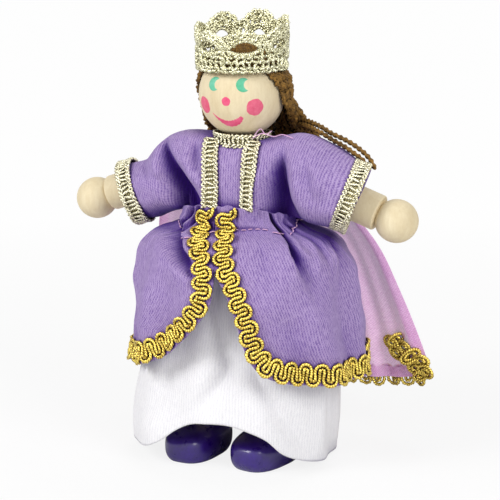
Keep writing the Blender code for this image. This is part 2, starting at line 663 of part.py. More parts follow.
def build_neck_and_chest_braid():
    def neck(u, v):
        height = mix(COLLAR_BOTTOM + LAYER_GAP, NECK_BRAID_TOP, v)
        return oval(NECK_BRAID_R, NECK_BRAID_R, 2 * math.pi * u, height)

    sheet("neck_braid", BODICE_COLUMNS, 1, neck, "silver_braid", closed=True, thickness=BRAID, outward=1)
    top = SHOULDER_Z + SHOULDER_DROP / 2
    bottom = HEADER_TOP + LAYER_GAP
    for side, word in SIDES:
        middle = CHEST_TURN + side * CHEST_STRIP_ANGLE

        def strip(u, v, middle=middle):
            height = mix(bottom, top, v)
            wide = bodice_size(height)[0]
            angle = middle + (u - 0.5) * SILVER_WIDTH / wide
            return lifted(bodice_round, angle / (2 * math.pi), height, LAYER_GAP, HEIGHT_STEP)

        sheet("chest_braid_" + word, 4, 8, strip, "silver_braid", thickness=BRAID, outward=1)


# Sleeves, in the frame of the shoulder pivot: +X is the upper side and -Z runs along the arm

def sleeve_start(up, across):
    """How far along the arm the sleeve starts, so that its edge follows the bodice."""
    along = SLEEVE_MIN_START
    clear = LAYER_GAP + CLOTH / 2
    for _ in range(12):
        height = SHOULDER_Z - along * math.sin(ARM_SLOPE) + up * math.cos(ARM_SLOPE)
        side, front = bodice_size(height)
        inside = max(0.0, 1 - (across / (front + clear)) ** 2)
        reach = (side + clear) * math.sqrt(inside)
        along = (reach - SHOULDER_X - up * math.sin(ARM_SLOPE)) / math.cos(ARM_SLOPE)
        along = max(along, SLEEVE_MIN_START)
    return along


def sleeve_point(side, u, v, lift=0.0):
    """The sleeve's outside: u goes round the arm and v runs from the cuff up to the shoulder."""
    angle = 2 * math.pi * u
    bulge = math.sin(math.pi * min(max(v, 0.0), 1.0))
    ripple = SLEEVE_RIPPLE * bulge * math.cos(SLEEVE_RIPPLES * angle + 1.0)
    radius = mix(SLEEVE_CUFF_RADIUS, SLEEVE_ROOT_RADIUS, v) + SLEEVE_RIPPLE * bulge + ripple + lift
    up = radius * math.cos(angle) + SLEEVE_SAG * (2 * v - 1)
    across = radius * math.sin(angle)
    root_up = SLEEVE_ROOT_RADIUS * math.cos(angle) + SLEEVE_SAG
    start = sleeve_start(root_up, SLEEVE_ROOT_RADIUS * math.sin(angle))
    end = SLEEVE_LENGTH + CUFF_TILT * up
    return Vector((side * up, across * side, -mix(end, start, v)))


def build_sleeve(side, word, shoulder, elbow):
    share = SILVER_WIDTH / SLEEVE_LENGTH

    def cloth(u, v):
        return sleeve_point(side, u, v)

    def cuff(u, v):
        place = sleeve_point(side, u, share * v, LAYER_GAP)
        return place + Vector((0.0, 0.0, UPPER_ARM_LENGTH))

    sheet("sleeve_" + word, SLEEVE_COLUMNS, 6, cloth, "robe", shoulder, closed=True)
    sheet("cuff_braid_" + word, SLEEVE_COLUMNS, 1, cuff, "silver_braid", elbow, closed=True,
          thickness=BRAID, outward=1)


# Skirts

def folds(angle, count, start):
    """Uneven soft folds round a skirt, between about -1 and 1."""
    even = math.cos(count * angle + start)
    uneven = math.cos((count + 3) * angle + 2 * start)
    return mix(uneven, even, MAIN_FOLD)


def underskirt_size(height):
    share = (UNDERSKIRT_TOP - height) / (UNDERSKIRT_TOP - UNDERSKIRT_HEM)
    spread = flare(share, UNDERSKIRT_FLARE)
    waist = TORSO_R + LAYER_GAP + CLOTH
    return mix(waist, UNDERSKIRT_SIDE, spread), mix(waist, UNDERSKIRT_FRONT, spread), spread


def underskirt_point(u, v):
    angle = 2 * math.pi * u
    arch = math.cos(math.pi / 2 * min(abs(math.remainder(angle, 2 * math.pi)) / UNDERSKIRT_ARCH_ANGLE, 1.0))
    height = mix(UNDERSKIRT_HEM + UNDERSKIRT_ARCH * arch ** UNDERSKIRT_ARCH_POWER, UNDERSKIRT_TOP, v)
    side, front, spread = underskirt_size(height)
    fold = 1 + UNDERSKIRT_FOLD * spread ** 2 * folds(angle, UNDERSKIRT_FOLDS, 0.4)
    lean = Vector((-UNDERSKIRT_LEAN * spread ** UNDERSKIRT_LEAN_POWER, 0.0, 0.0))
    return oval(side * fold, front * fold, angle, height, SKIRT_BACK_SHIFT * spread) + lean


def overskirt_point(angle, height):
    """The overskirt's outside at one angle and height; above the stitches it is a short ruffle."""
    under_side, under_front, _ = underskirt_size(OVERSKIRT_HEM)
    standoff = mix(OVERSKIRT_STANDOFF_RIGHT, OVERSKIRT_STANDOFF_LEFT, (1 + math.sin(angle)) / 2)
    hem_side = under_side * (1 + UNDERSKIRT_FOLD) + standoff
    hem_front = under_front * (1 + UNDERSKIRT_FOLD) + OVERSKIRT_STANDOFF_FRONT
    waist_side = TORSO_R + BODICE_EASE_SIDE + 2 * CLOTH + LAYER_GAP + OVERSKIRT_WAIST_EASE
    waist_front = TORSO_R + BODICE_EASE_FRONT + 2 * CLOTH + LAYER_GAP + OVERSKIRT_WAIST_EASE
    share = min(max((GATHER_Z - height) / OVERSKIRT_LENGTH, 0.0), 1.0)
    spread = flare(share, OVERSKIRT_FLARE_FRONT)
    side_spread = mix(flare(share, OVERSKIRT_FLARE_SIDE), share, OVERSKIRT_STRAIGHTNESS)
    ruffle = max(0.0, (height - GATHER_Z) / OVERSKIRT_HEADER)
    side = mix(waist_side, hem_side, side_spread) + OVERSKIRT_HEADER_FLARE * ruffle
    front = mix(waist_front, hem_front, spread) + OVERSKIRT_HEADER_FLARE * ruffle
    fold = 1 + OVERSKIRT_FOLD * (spread + ruffle) * folds(angle, OVERSKIRT_FOLDS, 1.1)
    return oval(side * fold, front * fold, angle, height, SKIRT_BACK_SHIFT * spread)


def header_top(angle):
    """Height of the ruffle's upper edge: it dips under the arms."""
    return GATHER_Z + mix(OVERSKIRT_HEADER_SIDE, OVERSKIRT_HEADER, math.cos(angle) ** 2)


def panel_edge(panel, height):
    """Angle of a panel's front edge at one height."""
    top_angle, corner_angle = panel[:2]
    return mix(top_angle, corner_angle, flare((GATHER_Z - height) / OVERSKIRT_LENGTH, PANEL_FLARE))


def panel_hem(panel, angle):
    """Height of a panel's hem at one angle from straight ahead; it rises to a round corner."""
    _, corner_angle, rise, reach = panel
    return OVERSKIRT_HEM + rise * (1 - min(max((angle - corner_angle) / reach, 0.0), 1.0)) ** 2


OVERSKIRT_ROWS = 7
GATHER_SHARE = 1 - 1 / OVERSKIRT_ROWS   # the top row of faces is the ruffle above the stitches


def overskirt_cloth(u, v):
    """The cloth from its left front edge, round the back, to its right front edge."""
    near = LEFT_PANEL if u < 0.5 else RIGHT_PANEL
    from_edge = 2 * min(u, 1 - u)
    hem_angle = mix(near[1], math.pi, from_edge)
    if v > GATHER_SHARE:
        height = mix(GATHER_Z, header_top(mix(panel_edge(near, GATHER_Z), math.pi, from_edge)),
                     (v - GATHER_SHARE) / (1 - GATHER_SHARE))
    else:
        down = (1 - v / GATHER_SHARE) ** OVERSKIRT_CROWDING
        height = mix(GATHER_Z, panel_hem(near, hem_angle), down)
    angle = mix(panel_edge(near, height), math.pi, from_edge)
    if u > 0.5:
        angle = 2 * math.pi - angle
    return overskirt_point(angle, height)


def panel_border(panel, count):
    """Places (angle, height) down a panel's front edge and along its hem to the back."""
    corner = panel_hem(panel, panel[1])
    border = [(panel_edge(panel, HEADER_TOP), HEADER_TOP)]
    down = count // 4
    for index in range(down):
        height = mix(GATHER_Z, corner, index / down)
        border.append((panel_edge(panel, height), height))
    seam = LAYER_GAP / UNDERSKIRT_SIDE
    round_hem = count - down - 1
    for index in range(round_hem + 1):
        angle = mix(panel[1], math.pi - seam, index / round_hem)
        border.append((angle, panel_hem(panel, angle)))
    return border


def round_scale(angle, height):
    """Length along the cloth of one radian at this place."""
    along = overskirt_point(angle + ANGLE_STEP, height) - overskirt_point(angle - ANGLE_STEP, height)
    return along.length / (2 * ANGLE_STEP)


def gold_braid(side, word, panel):
    """One length of gold braid, laid along a panel's front edge and hem."""
    count = GOLD_BRAID_STEPS
    border = panel_border(panel, count)

    def place(index, across):
        here = border[index]
        before = border[max(index - 1, 0)]
        after = border[min(index + 1, count)]
        scale = round_scale(*here)
        run = Vector(((after[0] - before[0]) * scale, after[1] - before[1])).normalized()
        angle = here[0] - run.y * across / scale
        height = min(here[1] + run.x * across, HEADER_TOP)
        return lifted(overskirt_point, side * angle, height, LAYER_GAP, HEIGHT_STEP, ANGLE_STEP)

    def surface(u, v):
        index = round(u * count)
        if side == LEFT:
            return place(index, mix(-GOLD_OVERHANG, GOLD_WIDTH - GOLD_OVERHANG, v))
        return place(count - index, mix(-GOLD_OVERHANG, GOLD_WIDTH - GOLD_OVERHANG, v))

    sheet("gold_braid_" + word, count, 2, surface, "gold_braid", thickness=BRAID, outward=1)


# Cape and falling hair

CAPE_TOP = TORSO_TOP - LAYER_GAP


def cape_depth(height):
    """The cape hangs straight from the shoulders over the ruffle, then over the bell of the overskirt."""
    bell = [GATHER_Z - OVERSKIRT_LENGTH * share for share in CAPE_BELL]
    robe = [(CAPE_TOP, bodice_size(SHOULDER_Z)[1])]
    for place in [HEADER_TOP] + bell:
        robe.append((place, overskirt_point(math.pi, place).y * (1 + OVERSKIRT_FOLD)))
    robe.append((CAPE_HEM, robe[-1][1]))
    for high, low in zip(robe, robe[1:]):
        if height >= low[0]:
            break
    share = (high[0] - height) / (high[0] - low[0])
    return mix(high[1], low[1], share) + CAPE_STANDOFF + CLOTH + CAPE_FOLD


def cape_point(u, v):
    height = mix(CAPE_HEM, CAPE_TOP, v)
    spread = flare(1 - v, CAPE_SHOULDER_FLARE)
    width = mix(CAPE_NECK_HALF_WIDTH, CAPE_HEM_HALF_WIDTH, mix(spread, 1 - v, CAPE_STRAIGHTNESS))
    across = 1 - 2 * u
    depth = cape_depth(height) - CAPE_SIDE_FORWARD * (1 - v) * across ** 2
    depth += CAPE_FOLD * spread * math.cos(CAPE_FOLDS * math.pi * across)
    return Vector((width * across, depth, height))


def build_cape():
    sheet("cape", CAPE_COLUMNS, 9, cape_point, "gauze")
    share = GOLD_WIDTH / (CAPE_TOP - CAPE_HEM)
    low = -GOLD_OVERHANG / (CAPE_TOP - CAPE_HEM)

    def hem(u, v):
        return lifted(cape_point, u, mix(low, low + share, v), LAYER_GAP, share / 10)

    sheet("cape_braid", CAPE_COLUMNS, 1, hem, "gold_braid", thickness=BRAID, outward=1)


def build_hair_fall(head):
    """Hair that lies close on the cap from under the crown, then flat on the cape."""
    top = CROWN_SEAT - LAYER_GAP
    over_cap = HAIR_OUTER + LAYER_GAP
    shoulder = CAPE_TOP - HEAD_Z

    def surface(u, v):
        height = mix(shoulder - HAIR_FALL_LENGTH, top, v)
        on_head = ease_in(1 - height / shoulder)
        under_crown = ease_in((height - shoulder) / (top - shoulder))
        half_angle = mix(HAIR_FALL_HALF_ANGLE, HAIRLINE_HALF_ANGLE, under_crown)
        angle = math.pi + (u - 0.5) * 2 * half_angle
        radius = math.sqrt(over_cap ** 2 - max(height, 0.0) ** 2)
        below = min(HEAD_Z + height, CAPE_TOP)
        behind = mix(cape_depth(below) + CAPE_FOLD + HAIR_FALL_LOFT, radius, on_head)
        wrap = mix(HAIR_FALL_CURVE, radius, on_head)
        across = (radius + HAIR_FALL_SPREAD * (1 - v)) * math.sin(angle)
        return Vector((across, behind - wrap * (1 + math.cos(angle)), height))

    sheet("hair_fall", 20, 9, surface, "hair", head, thickness=HAIR_FALL_THICKNESS, outward=1)


def centre_over_origin(root):
    """Moves the doll so that the middle of its box stands over the origin."""
    bpy.context.view_layer.update()
    depsgraph = bpy.context.evaluated_depsgraph_get()
    low, high = [math.inf, math.inf], [-math.inf, -math.inf]
    for part in PARTS.objects:
        if part.type != 'MESH':
            continue
        for vert in part.evaluated_get(depsgraph).data.vertices:
            place = part.matrix_world @ vert.co
            for axis in range(2):
                low[axis] = min(low[axis], place[axis])
                high[axis] = max(high[axis], place[axis])
    root.location = (-(low[0] + high[0]) / 2, -(low[1] + high[1]) / 2, 0.0)


def build_doll():
    head = add_pivot("head_pivot", (0.0, 0.0, HEAD_Z))
    build_torso()
    build_body_pins()
    build_neck_peg()
    build_head(head)
    build_hair_cap(head)
    build_crown(head)
    build_bodice()
    build_neck_and_chest_braid()
    sheet("underskirt", SKIRT_COLUMNS, 6, underskirt_point, "underskirt", closed=True)
    sheet("overskirt", SKIRT_COLUMNS, OVERSKIRT_ROWS, overskirt_cloth, "robe")
    gold_braid(LEFT, "left", LEFT_PANEL)
    gold_braid(RIGHT, "right", RIGHT_PANEL)
    build_cape()
    build_hair_fall(head)
    for side, word in SIDES:
        arm_turn = -side * (math.pi / 2 - ARM_SLOPE)
        shoulder = add_pivot("shoulder_" + word, (side * SHOULDER_X, 0.0, SHOULDER_Z), arm_turn)
        elbow = add_pivot("elbow_" + word, (0.0, 0.0, -UPPER_ARM_LENGTH), parent=shoulder)
        build_arm(word, shoulder, elbow)
        build_sleeve(side, word, shoulder, elbow)
        hip = add_pivot("hip_" + word, (side * HIP_X, 0.0, HIP_Z), -side * LEG_LEAN)
        knee = add_pivot("knee_" + word, (0.0, 0.0, -THIGH_LENGTH), parent=hip)
        build_leg(side, word, hip, knee)
    root = add_pivot("doll", (0.0, 0.0, 0.0))
    for item in list(PARTS.objects) + list(CUTTERS.objects):
        if item.parent is None and item is not root:
            item.parent = root
    centre_over_origin(root)


build_doll()
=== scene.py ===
"""Looks of the dressed wooden doll: cloth, braid, lace, yarn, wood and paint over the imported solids.

Shapes are worked out in millimetres on the doll's own upright axis and turned into metres in the row
frame when a mesh is made. +X is the doll's left, -Y its front, +Z up.
"""
import json
import math

import bmesh
import bpy
import numpy as np
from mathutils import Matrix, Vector


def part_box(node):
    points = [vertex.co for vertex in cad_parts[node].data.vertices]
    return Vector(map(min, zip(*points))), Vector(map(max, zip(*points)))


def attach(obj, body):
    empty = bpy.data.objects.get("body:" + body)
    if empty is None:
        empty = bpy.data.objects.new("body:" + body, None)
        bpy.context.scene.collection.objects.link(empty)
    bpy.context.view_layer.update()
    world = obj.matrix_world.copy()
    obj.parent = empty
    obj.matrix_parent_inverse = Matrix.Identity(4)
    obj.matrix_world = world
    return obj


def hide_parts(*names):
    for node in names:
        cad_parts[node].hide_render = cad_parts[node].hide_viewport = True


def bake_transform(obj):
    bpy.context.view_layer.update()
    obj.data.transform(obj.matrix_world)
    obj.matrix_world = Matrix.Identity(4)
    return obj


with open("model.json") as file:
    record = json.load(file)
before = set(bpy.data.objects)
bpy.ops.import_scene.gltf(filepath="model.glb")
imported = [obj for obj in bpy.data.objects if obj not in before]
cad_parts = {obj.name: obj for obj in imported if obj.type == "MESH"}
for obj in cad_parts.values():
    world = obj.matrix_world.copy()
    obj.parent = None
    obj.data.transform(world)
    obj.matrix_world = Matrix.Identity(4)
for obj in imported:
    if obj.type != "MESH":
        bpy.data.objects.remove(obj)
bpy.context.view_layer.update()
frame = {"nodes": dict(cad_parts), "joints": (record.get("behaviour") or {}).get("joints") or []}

MM = 0.001
JOINTS = {joint["name"]: joint for joint in frame["joints"]}
AXIS_Y = JOINTS["head_turn"]["pos_m"][1]
SIDES = ((1, "left"), (-1, "right"))
RANDOM = np.random.default_rng(11)

# Finer points of how pieces are made, in millimetres or as shares
FINE_STEPS = 40                     # steps between two points that a path is drawn through
LIP_PLACE, LIP_SPREAD = 2.3, 0.9    # a fold's lips, in widths from its middle
FLAP_EDGE, FLAP_REACH = 3.0, 3.2    # how sharply a flap ends, and how many widths it reaches
SEAM_GAP = 0.002                    # points this close are one
CLOTH_THICK = 0.3                   # the skirts' cloth
THREAD_TIP, PLY_DEPTH = 0.12, 0.3   # a thread's ends and the grooves of its twist, as shares of its radius
THREAD_SHIFT = 9.7                  # moves each thread's pattern along from its neighbour's


def axis_point(joint):
    """A joint's place in millimetres on the doll's axis."""
    x, y, z = JOINTS[joint]["pos_m"]
    return np.array([x, y - AXIS_Y, z]) / MM


def node_box(node):
    """A node's lowest and highest corner in millimetres on the doll's axis."""
    shift = np.array([0.0, AXIS_Y, 0.0])
    return [(np.array(corner) - shift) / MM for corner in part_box(node)]


def to_world(points):
    return np.asarray(points, float) * MM + np.array([0.0, AXIS_Y, 0.0])


def spot(x, y, z):
    """One place as a tuple in metres in the row frame."""
    return tuple(to_world((x, y, z)))


# Sizes of the solids
HEAD = axis_point("head_turn")
HEAD_R = 10.0
SHOULDER = axis_point("left_arm_raise")
ELBOW = axis_point("left_elbow_bend")
ARM_RUN = (ELBOW - SHOULDER) / np.linalg.norm(ELBOW - SHOULDER)


def ease(share):
    """Runs from 0 to 1 with no slope at either end."""
    share = np.clip(share, 0.0, 1.0)
    return share * share * (3 - 2 * share)


def flare(share, power):
    """Runs from 0 to 1, steep at first, as gathered cloth falls."""
    return 1 - (1 - np.clip(share, 0.0, 1.0)) ** power


def direction(turn, rise):
    """A direction from angles to the doll's left of its front and up."""
    return np.array([math.sin(turn) * math.cos(rise), -math.cos(turn) * math.cos(rise), math.sin(rise)])


def mix(start, end, share):
    return start + (end - start) * share


def unit(vectors):
    return vectors / np.maximum(np.linalg.norm(vectors, axis=-1, keepdims=True), 1e-9)


def through(knots, at):
    """A smooth curve through rows of (place, value, ...), read at the given places."""
    knots = np.array(knots, float)
    place, value = knots[:, 0], knots[:, 1:]
    slope = np.gradient(value, place, axis=0)
    at = np.clip(np.asarray(at, float), place[0], place[-1])
    index = np.clip(np.searchsorted(place, at) - 1, 0, len(place) - 2)
    width = (place[index + 1] - place[index])[..., None]
    t = (at - place[index])[..., None] / width
    low, high = value[index], value[index + 1]
    rise = (t ** 3 - 2 * t ** 2 + t) * slope[index] + (t ** 3 - t ** 2) * slope[index + 1]
    return low * (2 * t ** 3 - 3 * t ** 2 + 1) + high * (3 * t ** 2 - 2 * t ** 3) + rise * width


def smooth_path(points, count):
    """A smooth line through a few points, as many points evenly spaced along its length."""
    points = np.array(points, float)
    rows = np.column_stack([np.arange(len(points)), points])
    fine = through(rows, np.linspace(0, len(points) - 1, FINE_STEPS * len(points)))
    run = run_length(fine)
    even = np.linspace(0, run[-1], count)
    return np.column_stack([np.interp(even, run, fine[:, axis]) for axis in range(points.shape[1])])


def run_length(path):
    """Length along a path at each of its points."""
    steps = np.linalg.norm(np.diff(path[:, :3], axis=0), axis=1)
    return np.concatenate([[0.0], np.cumsum(steps)])


def crease(across, up, path, sharpness=1.5, lip=0.0, flap=0.0):
    """How deep a fold presses the cloth in; path rows are (across, up, width, depth).

    Its lips stand proud. With a flap, the cloth on the right of the path's run lies over the hollow on
    its left.
    """
    line = smooth_path(path, 60)
    gap = np.hypot(across[..., None] - line[:, 0], up[..., None] - line[:, 1])
    near = gap.argmin(axis=-1)
    reach = gap.min(axis=-1) / line[near, 2]
    hollow = np.exp(-reach ** sharpness) - lip * np.exp(-((reach - LIP_PLACE) / LIP_SPREAD) ** 2)
    if flap:
        run = np.gradient(line[:, :2], axis=0)[near]
        turn = run[..., 0] * (up - line[near, 1]) - run[..., 1] * (across - line[near, 0])
        under = 0.5 + 0.5 * np.tanh(FLAP_EDGE * np.sign(turn) * reach)
        hollow = mix(-flap * np.exp(-(reach / FLAP_REACH) ** 2), hollow, under)
    return line[near, 3] * hollow


def ripples(across, up, waves):
    """Faint uneven swells; waves are rows of (length, heading in degrees, phase, height)."""
    total = np.zeros_like(across)
    for length, heading, phase, height in waves:
        heading = math.radians(heading)
        along = across * math.cos(heading) + up * math.sin(heading)
        total += height * np.sin(2 * math.pi * along / length + phase)
    return total


# Meshes

def new_object(name, data):
    item = bpy.data.objects.new(name, data)
    bpy.context.scene.collection.objects.link(item)
    return item


def make_mesh(name, points, faces, loop_uv, material):
    mesh = bpy.data.meshes.new(name)
    mesh.from_pydata(to_world(points).tolist(), [], faces.tolist())
    layer = mesh.uv_layers.new(name="cloth")
    layer.data.foreach_set("uv", np.asarray(loop_uv, np.float32).ravel())
    mesh.materials.append(material)
    mesh.shade_smooth()
    return new_object(name, mesh)


def grid_faces(rows, columns, closed):
    """Quads of a grid, and each corner's (row, column) with the seam's last column counted on."""
    last = columns if closed else columns - 1
    row, column = [part.ravel() for part in np.meshgrid(np.arange(rows - 1), np.arange(last), indexing="ij")]
    corner_rows = np.stack([row, row, row + 1, row + 1], axis=1)
    corner_columns = np.stack([column, column + 1, column + 1, column], axis=1)
    return corner_rows * columns + corner_columns % columns, corner_rows, corner_columns


def grid_piece(name, points, material, closed=False, keep=None, fold=None):
    """A sheet from a grid of points [row, column]; its UVs are lengths along the cloth in millimetres.

    The share that each point is folded in, if given, is kept on the mesh as painted fold shade in the cloth's
    colour.
    """
    rows, columns = points.shape[:2]
    faces, corner_rows, corner_columns = grid_faces(rows, columns, closed)
    ring = np.concatenate([points, points[:, :1]], axis=1) if closed else points
    step_u = np.linalg.norm(np.diff(ring, axis=1), axis=2)
    step_v = np.linalg.norm(np.diff(ring, axis=0), axis=2)
    u = np.concatenate([[0.0], np.cumsum(step_u.mean(axis=0))])
    v = np.concatenate([np.zeros((1, ring.shape[1])), np.cumsum(step_v, axis=0)])
    loop_uv = np.stack([u[corner_columns], v[corner_rows, corner_columns]], axis=-1)
    if keep is not None:
        chosen = keep.ravel()[faces].all(axis=1)
        faces, loop_uv = faces[chosen], loop_uv[chosen]
    piece = make_mesh(name, points.reshape(-1, 3), faces, loop_uv, material)
    if fold is not None:
        # painted fold shade: the cloth material darkens its colour by this share
        layer = piece.data.attributes.new("fold", 'FLOAT', 'POINT')
        layer.data.foreach_set("value", np.ascontiguousarray(fold, np.float32).ravel())
    tidy_mesh(piece)
    return piece


def tidy_mesh(piece):
    """Joins points that meet at a seam and drops loose ones."""
    shape = bmesh.new()
    shape.from_mesh(piece.data)
    bmesh.ops.remove_doubles(shape, verts=shape.verts, dist=SEAM_GAP * MM)
    loose = [vert for vert in shape.verts if not vert.link_faces]
    bmesh.ops.delete(shape, geom=loose, context='VERTS')
    shape.to_mesh(piece.data)
    shape.free()


def thicken(piece):
    """Gives a skirt's sheet its thickness, inwards."""
    shell = piece.modifiers.new("thickness", 'SOLIDIFY')
    shell.thickness = CLOTH_THICK * MM
    shell.offset = -1.0
    return piece


def settle(piece, body, slot, *nodes):
    """The body that a piece rides on, its slot, which is not used, and the solids that it stands for, which
    are hidden.
    """
    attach(piece, body)
    if nodes:
        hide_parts(*nodes)


def path_frames(path, hint=None):
    """Normals and binormals along a path, with as little twist as it allows."""
    tangent = unit(np.gradient(path, axis=0))
    if hint is not None:
        normal = unit(hint - (hint * tangent).sum(axis=1, keepdims=True) * tangent)
        return normal, np.cross(tangent, normal)
    start = np.cross(tangent[0], (0.0, 0.0, 1.0))
    if np.linalg.norm(start) < 0.1:
        start = np.cross(tangent[0], (0.0, 1.0, 0.0))
    normal = np.empty_like(path)
    normal[0] = start / np.linalg.norm(start)
    for index in range(1, len(path)):
        turned = normal[index - 1] - normal[index - 1].dot(tangent[index]) * tangent[index]
        normal[index] = turned / np.linalg.norm(turned)
    return normal, np.cross(tangent, normal)


def thread_piece(name, paths, radius, material, sides=6, plies=0, pitch=2.0, hints=None):
    """Threads along paths as one mesh; with plies, each is a yarn of that many twisted strands."""
    around = 2 * math.pi * np.arange(sides) / sides
    girth = 2 * math.pi * radius / sides
    points, faces, loop_uv, first = [], [], [], 0
    for index, path in enumerate(paths):
        normal, binormal = path_frames(path, None if hints is None else hints[index])
        along = run_length(path)
        size = np.full(len(path), float(radius))
        size[0] = size[-1] = THREAD_TIP * radius
        twist = np.cos(plies * (around - 2 * math.pi * along[:, None] / pitch)) if plies else np.zeros(sides)
        reach = size[:, None] * (1 + PLY_DEPTH * twist)
        ring = (np.cos(around)[:, None] * normal[:, None] + np.sin(around)[:, None] * binormal[:, None])
        points.append((path[:, None] + reach[..., None] * ring).reshape(-1, 3))
        quads, corner_rows, corner_columns = grid_faces(len(path), sides, True)
        faces.append(quads + first)
        loop_uv.append(np.stack([corner_columns * girth + THREAD_SHIFT * index, along[corner_rows]], axis=-1))
        first += len(path) * sides
    return make_mesh(name, np.concatenate(points), np.concatenate(faces), np.concatenate(loop_uv), material)


# Materials

def feed(tree, socket, value):
    if isinstance(value, bpy.types.NodeSocket):
        tree.links.new(value, socket)
    else:
        socket.default_value = value


def dress(tree, node, inputs):
    for key, value in inputs.items():
        feed(tree, node.inputs[key], value)
    return node


def add(tree, kind, inputs=(), **settings):
    node = tree.nodes.new("ShaderNode" + kind)
    for key, value in settings.items():
        setattr(node, key, value)
    return dress(tree, node, dict(inputs))


def maths(tree, operation, *values):
    return add(tree, "Math", dict(enumerate(values)), operation=operation).outputs[0]


def weigh(tree, *parts):
    """Sum of (value, weight) pairs."""
    terms = [maths(tree, 'MULTIPLY', value, weight) for value, weight in parts]
    total = terms[0]
    for term in terms[1:]:
        total = maths(tree, 'ADD', total, term)
    return total


def noise(tree, scale, detail=3.0, coords=None, roughness=0.55):
    if coords is None:
        coords = add(tree, "TexCoord").outputs["Object"]
    inputs = {"Vector": coords, "Scale": scale, "Detail": detail, "Roughness": roughness}
    return add(tree, "TexNoise", inputs).outputs["Fac"]


def ramp(tree, factor, stops):
    node = add(tree, "ValToRGB", {"Fac": factor})
    bands = node.color_ramp.elements
    while len(bands) < len(stops):
        bands.new(0.5)
    for band, (place, colour) in zip(bands, stops):
        band.position = place
        band.color = (*colour, 1.0)
    return node.outputs["Color"]


def grey(tree, factor, *stops):
    """A ramp through rows of (place, level)."""
    return ramp(tree, factor, [(place, (level,) * 3) for place, level in stops])


def blend_colour(tree, factor, first, second):
    return add(tree, "Mix", {0: factor, 6: first, 7: second}, data_type='RGBA').outputs[2]


def linear(red, green, blue):
    """A display colour, 0 to 255, as scene-linear values."""
    values = np.array([red, green, blue]) / 255
    return np.where(values <= 0.04045, values / 12.92, ((values + 0.055) / 1.055) ** 2.4)


def start_material(name):
    material = bpy.data.materials.new(name)
    material.use_nodes = True
    tree = material.node_tree
    return material, tree, tree.nodes["Principled BSDF"]


def bump(tree, height, millimetres, strength):
    inputs = {"Height": height, "Distance": millimetres * MM, "Strength": strength}
    return add(tree, "Bump", inputs).outputs["Normal"]


def flat_lengths(tree):
    """The piece's UVs: lengths along its cloth or thread in millimetres."""
    return add(tree, "UVMap").outputs["UV"]


def weave(tree, uv, pitch, rib):
    """Height of a plain weave, 0 to 1; rib raises the threads of one direction."""
    drift = add(tree, "TexNoise", {"Vector": uv, "Scale": 0.9, "Detail": 2.0}).outputs["Color"]
    drift = add(tree, "VectorMath", {0: drift, 1: (0.5, 0.5, 0.5)}, operation='SUBTRACT').outputs[0]
    drift = add(tree, "VectorMath", {0: drift, "Scale": WEAVE_WANDER}, operation='SCALE').outputs[0]
    moved = add(tree, "VectorMath", {0: uv, 1: drift}, operation='ADD').outputs[0]
    split = add(tree, "SeparateXYZ", {0: moved})
    turn = 2 * math.pi / pitch
    warp, weft = [maths(tree, 'SINE', maths(tree, 'MULTIPLY', split.outputs[axis], turn)) for axis in "XY"]
    over = maths(tree, 'MULTIPLY', warp, weft)
    return maths(tree, 'ADD', weigh(tree, (over, 0.5 * (1 - rib)), (warp, 0.5 * rib)), 0.5)


def crepe(tree, uv):
    """Uneven crinkles that run up the cloth."""
    drawn = add(tree, "Mapping", {"Vector": uv, "Scale": (2.4, 0.7, 1.0)}).outputs[0]
    inputs = {"Vector": drawn, "Scale": 1.0, "Detail": 2.0, "Roughness": 0.5, "Distortion": 0.5}
    return add(tree, "TexNoise", inputs).outputs["Fac"]


def painted_hollow_shade(tree, colour, deep, reach, closed=0.36, clear=0.86):
    """Painted shade: the colour on open cloth, running to a deeper one in folds as narrow as the reach in
    millimetres.
    """
    open_share = add(tree, "AmbientOcclusion", {"Distance": reach * MM}, samples=8).outputs["AO"]
    return blend_colour(tree, grey(tree, open_share, (closed, 0.0), (clear, 1.0)), (*deep, 1.0), colour)


WEAVE_WANDER = 0.5                  # how far threads stray, in millimetres
FOLD_SHADE_REACH = 6.5                    # millimetres: cloth this close to other cloth gets painted shade
SLIT_REACH, SLIT_SHADE = 1.3, 0.4   # painted shade: narrow slits and the foot of a flap are darkest


def cloth_material(name, light, dark, deep=None, pitch=0.62, rib=0.3, sheen=0.2, depth=0.16):
    """Crinkled woven cloth, with painted shade in its folds and hollows."""
    material, tree, shader = start_material(name)
    uv = flat_lengths(tree)
    height, crinkle, fibres = weave(tree, uv, pitch, rib), crepe(tree, uv), noise(tree, 2.6, 4.0, uv, 0.7)
    tone = weigh(tree, (height, 0.3), (crinkle, 0.4), (fibres, 0.3))
    colour = ramp(tree, tone, [(0.34, dark), (0.5, mix(dark, light, 0.6)), (0.64, light)])
    # painted shade: the colour runs to the deep colour by the mesh's fold share, then by ambient occlusion in
    # folds and slits
    if deep is not None:
        painted_fold_shade = add(tree, "Attribute", attribute_name="fold").outputs["Fac"]
        colour = blend_colour(tree, painted_fold_shade, colour, (*deep, 1.0))
        colour = painted_hollow_shade(tree, colour, deep, FOLD_SHADE_REACH)
        colour = painted_hollow_shade(tree, colour, SLIT_SHADE * deep, SLIT_REACH, 0.22, 0.62)
    relief = weigh(tree, (height, 0.7), (crinkle, 1.1), (fibres, 0.6))
    dress(tree, shader, {
        "Base Color": colour, "Roughness": grey(tree, fibres, (0.2, 0.78), (0.8, 0.95)),
        "Sheen Weight": sheen, "Sheen Roughness": 0.5, "Sheen Tint": (*mix(light, 1.0, 0.4), 1.0),
        "Specular IOR Level": 0.15, "Normal": bump(tree, relief, depth, 0.8)})
    return material


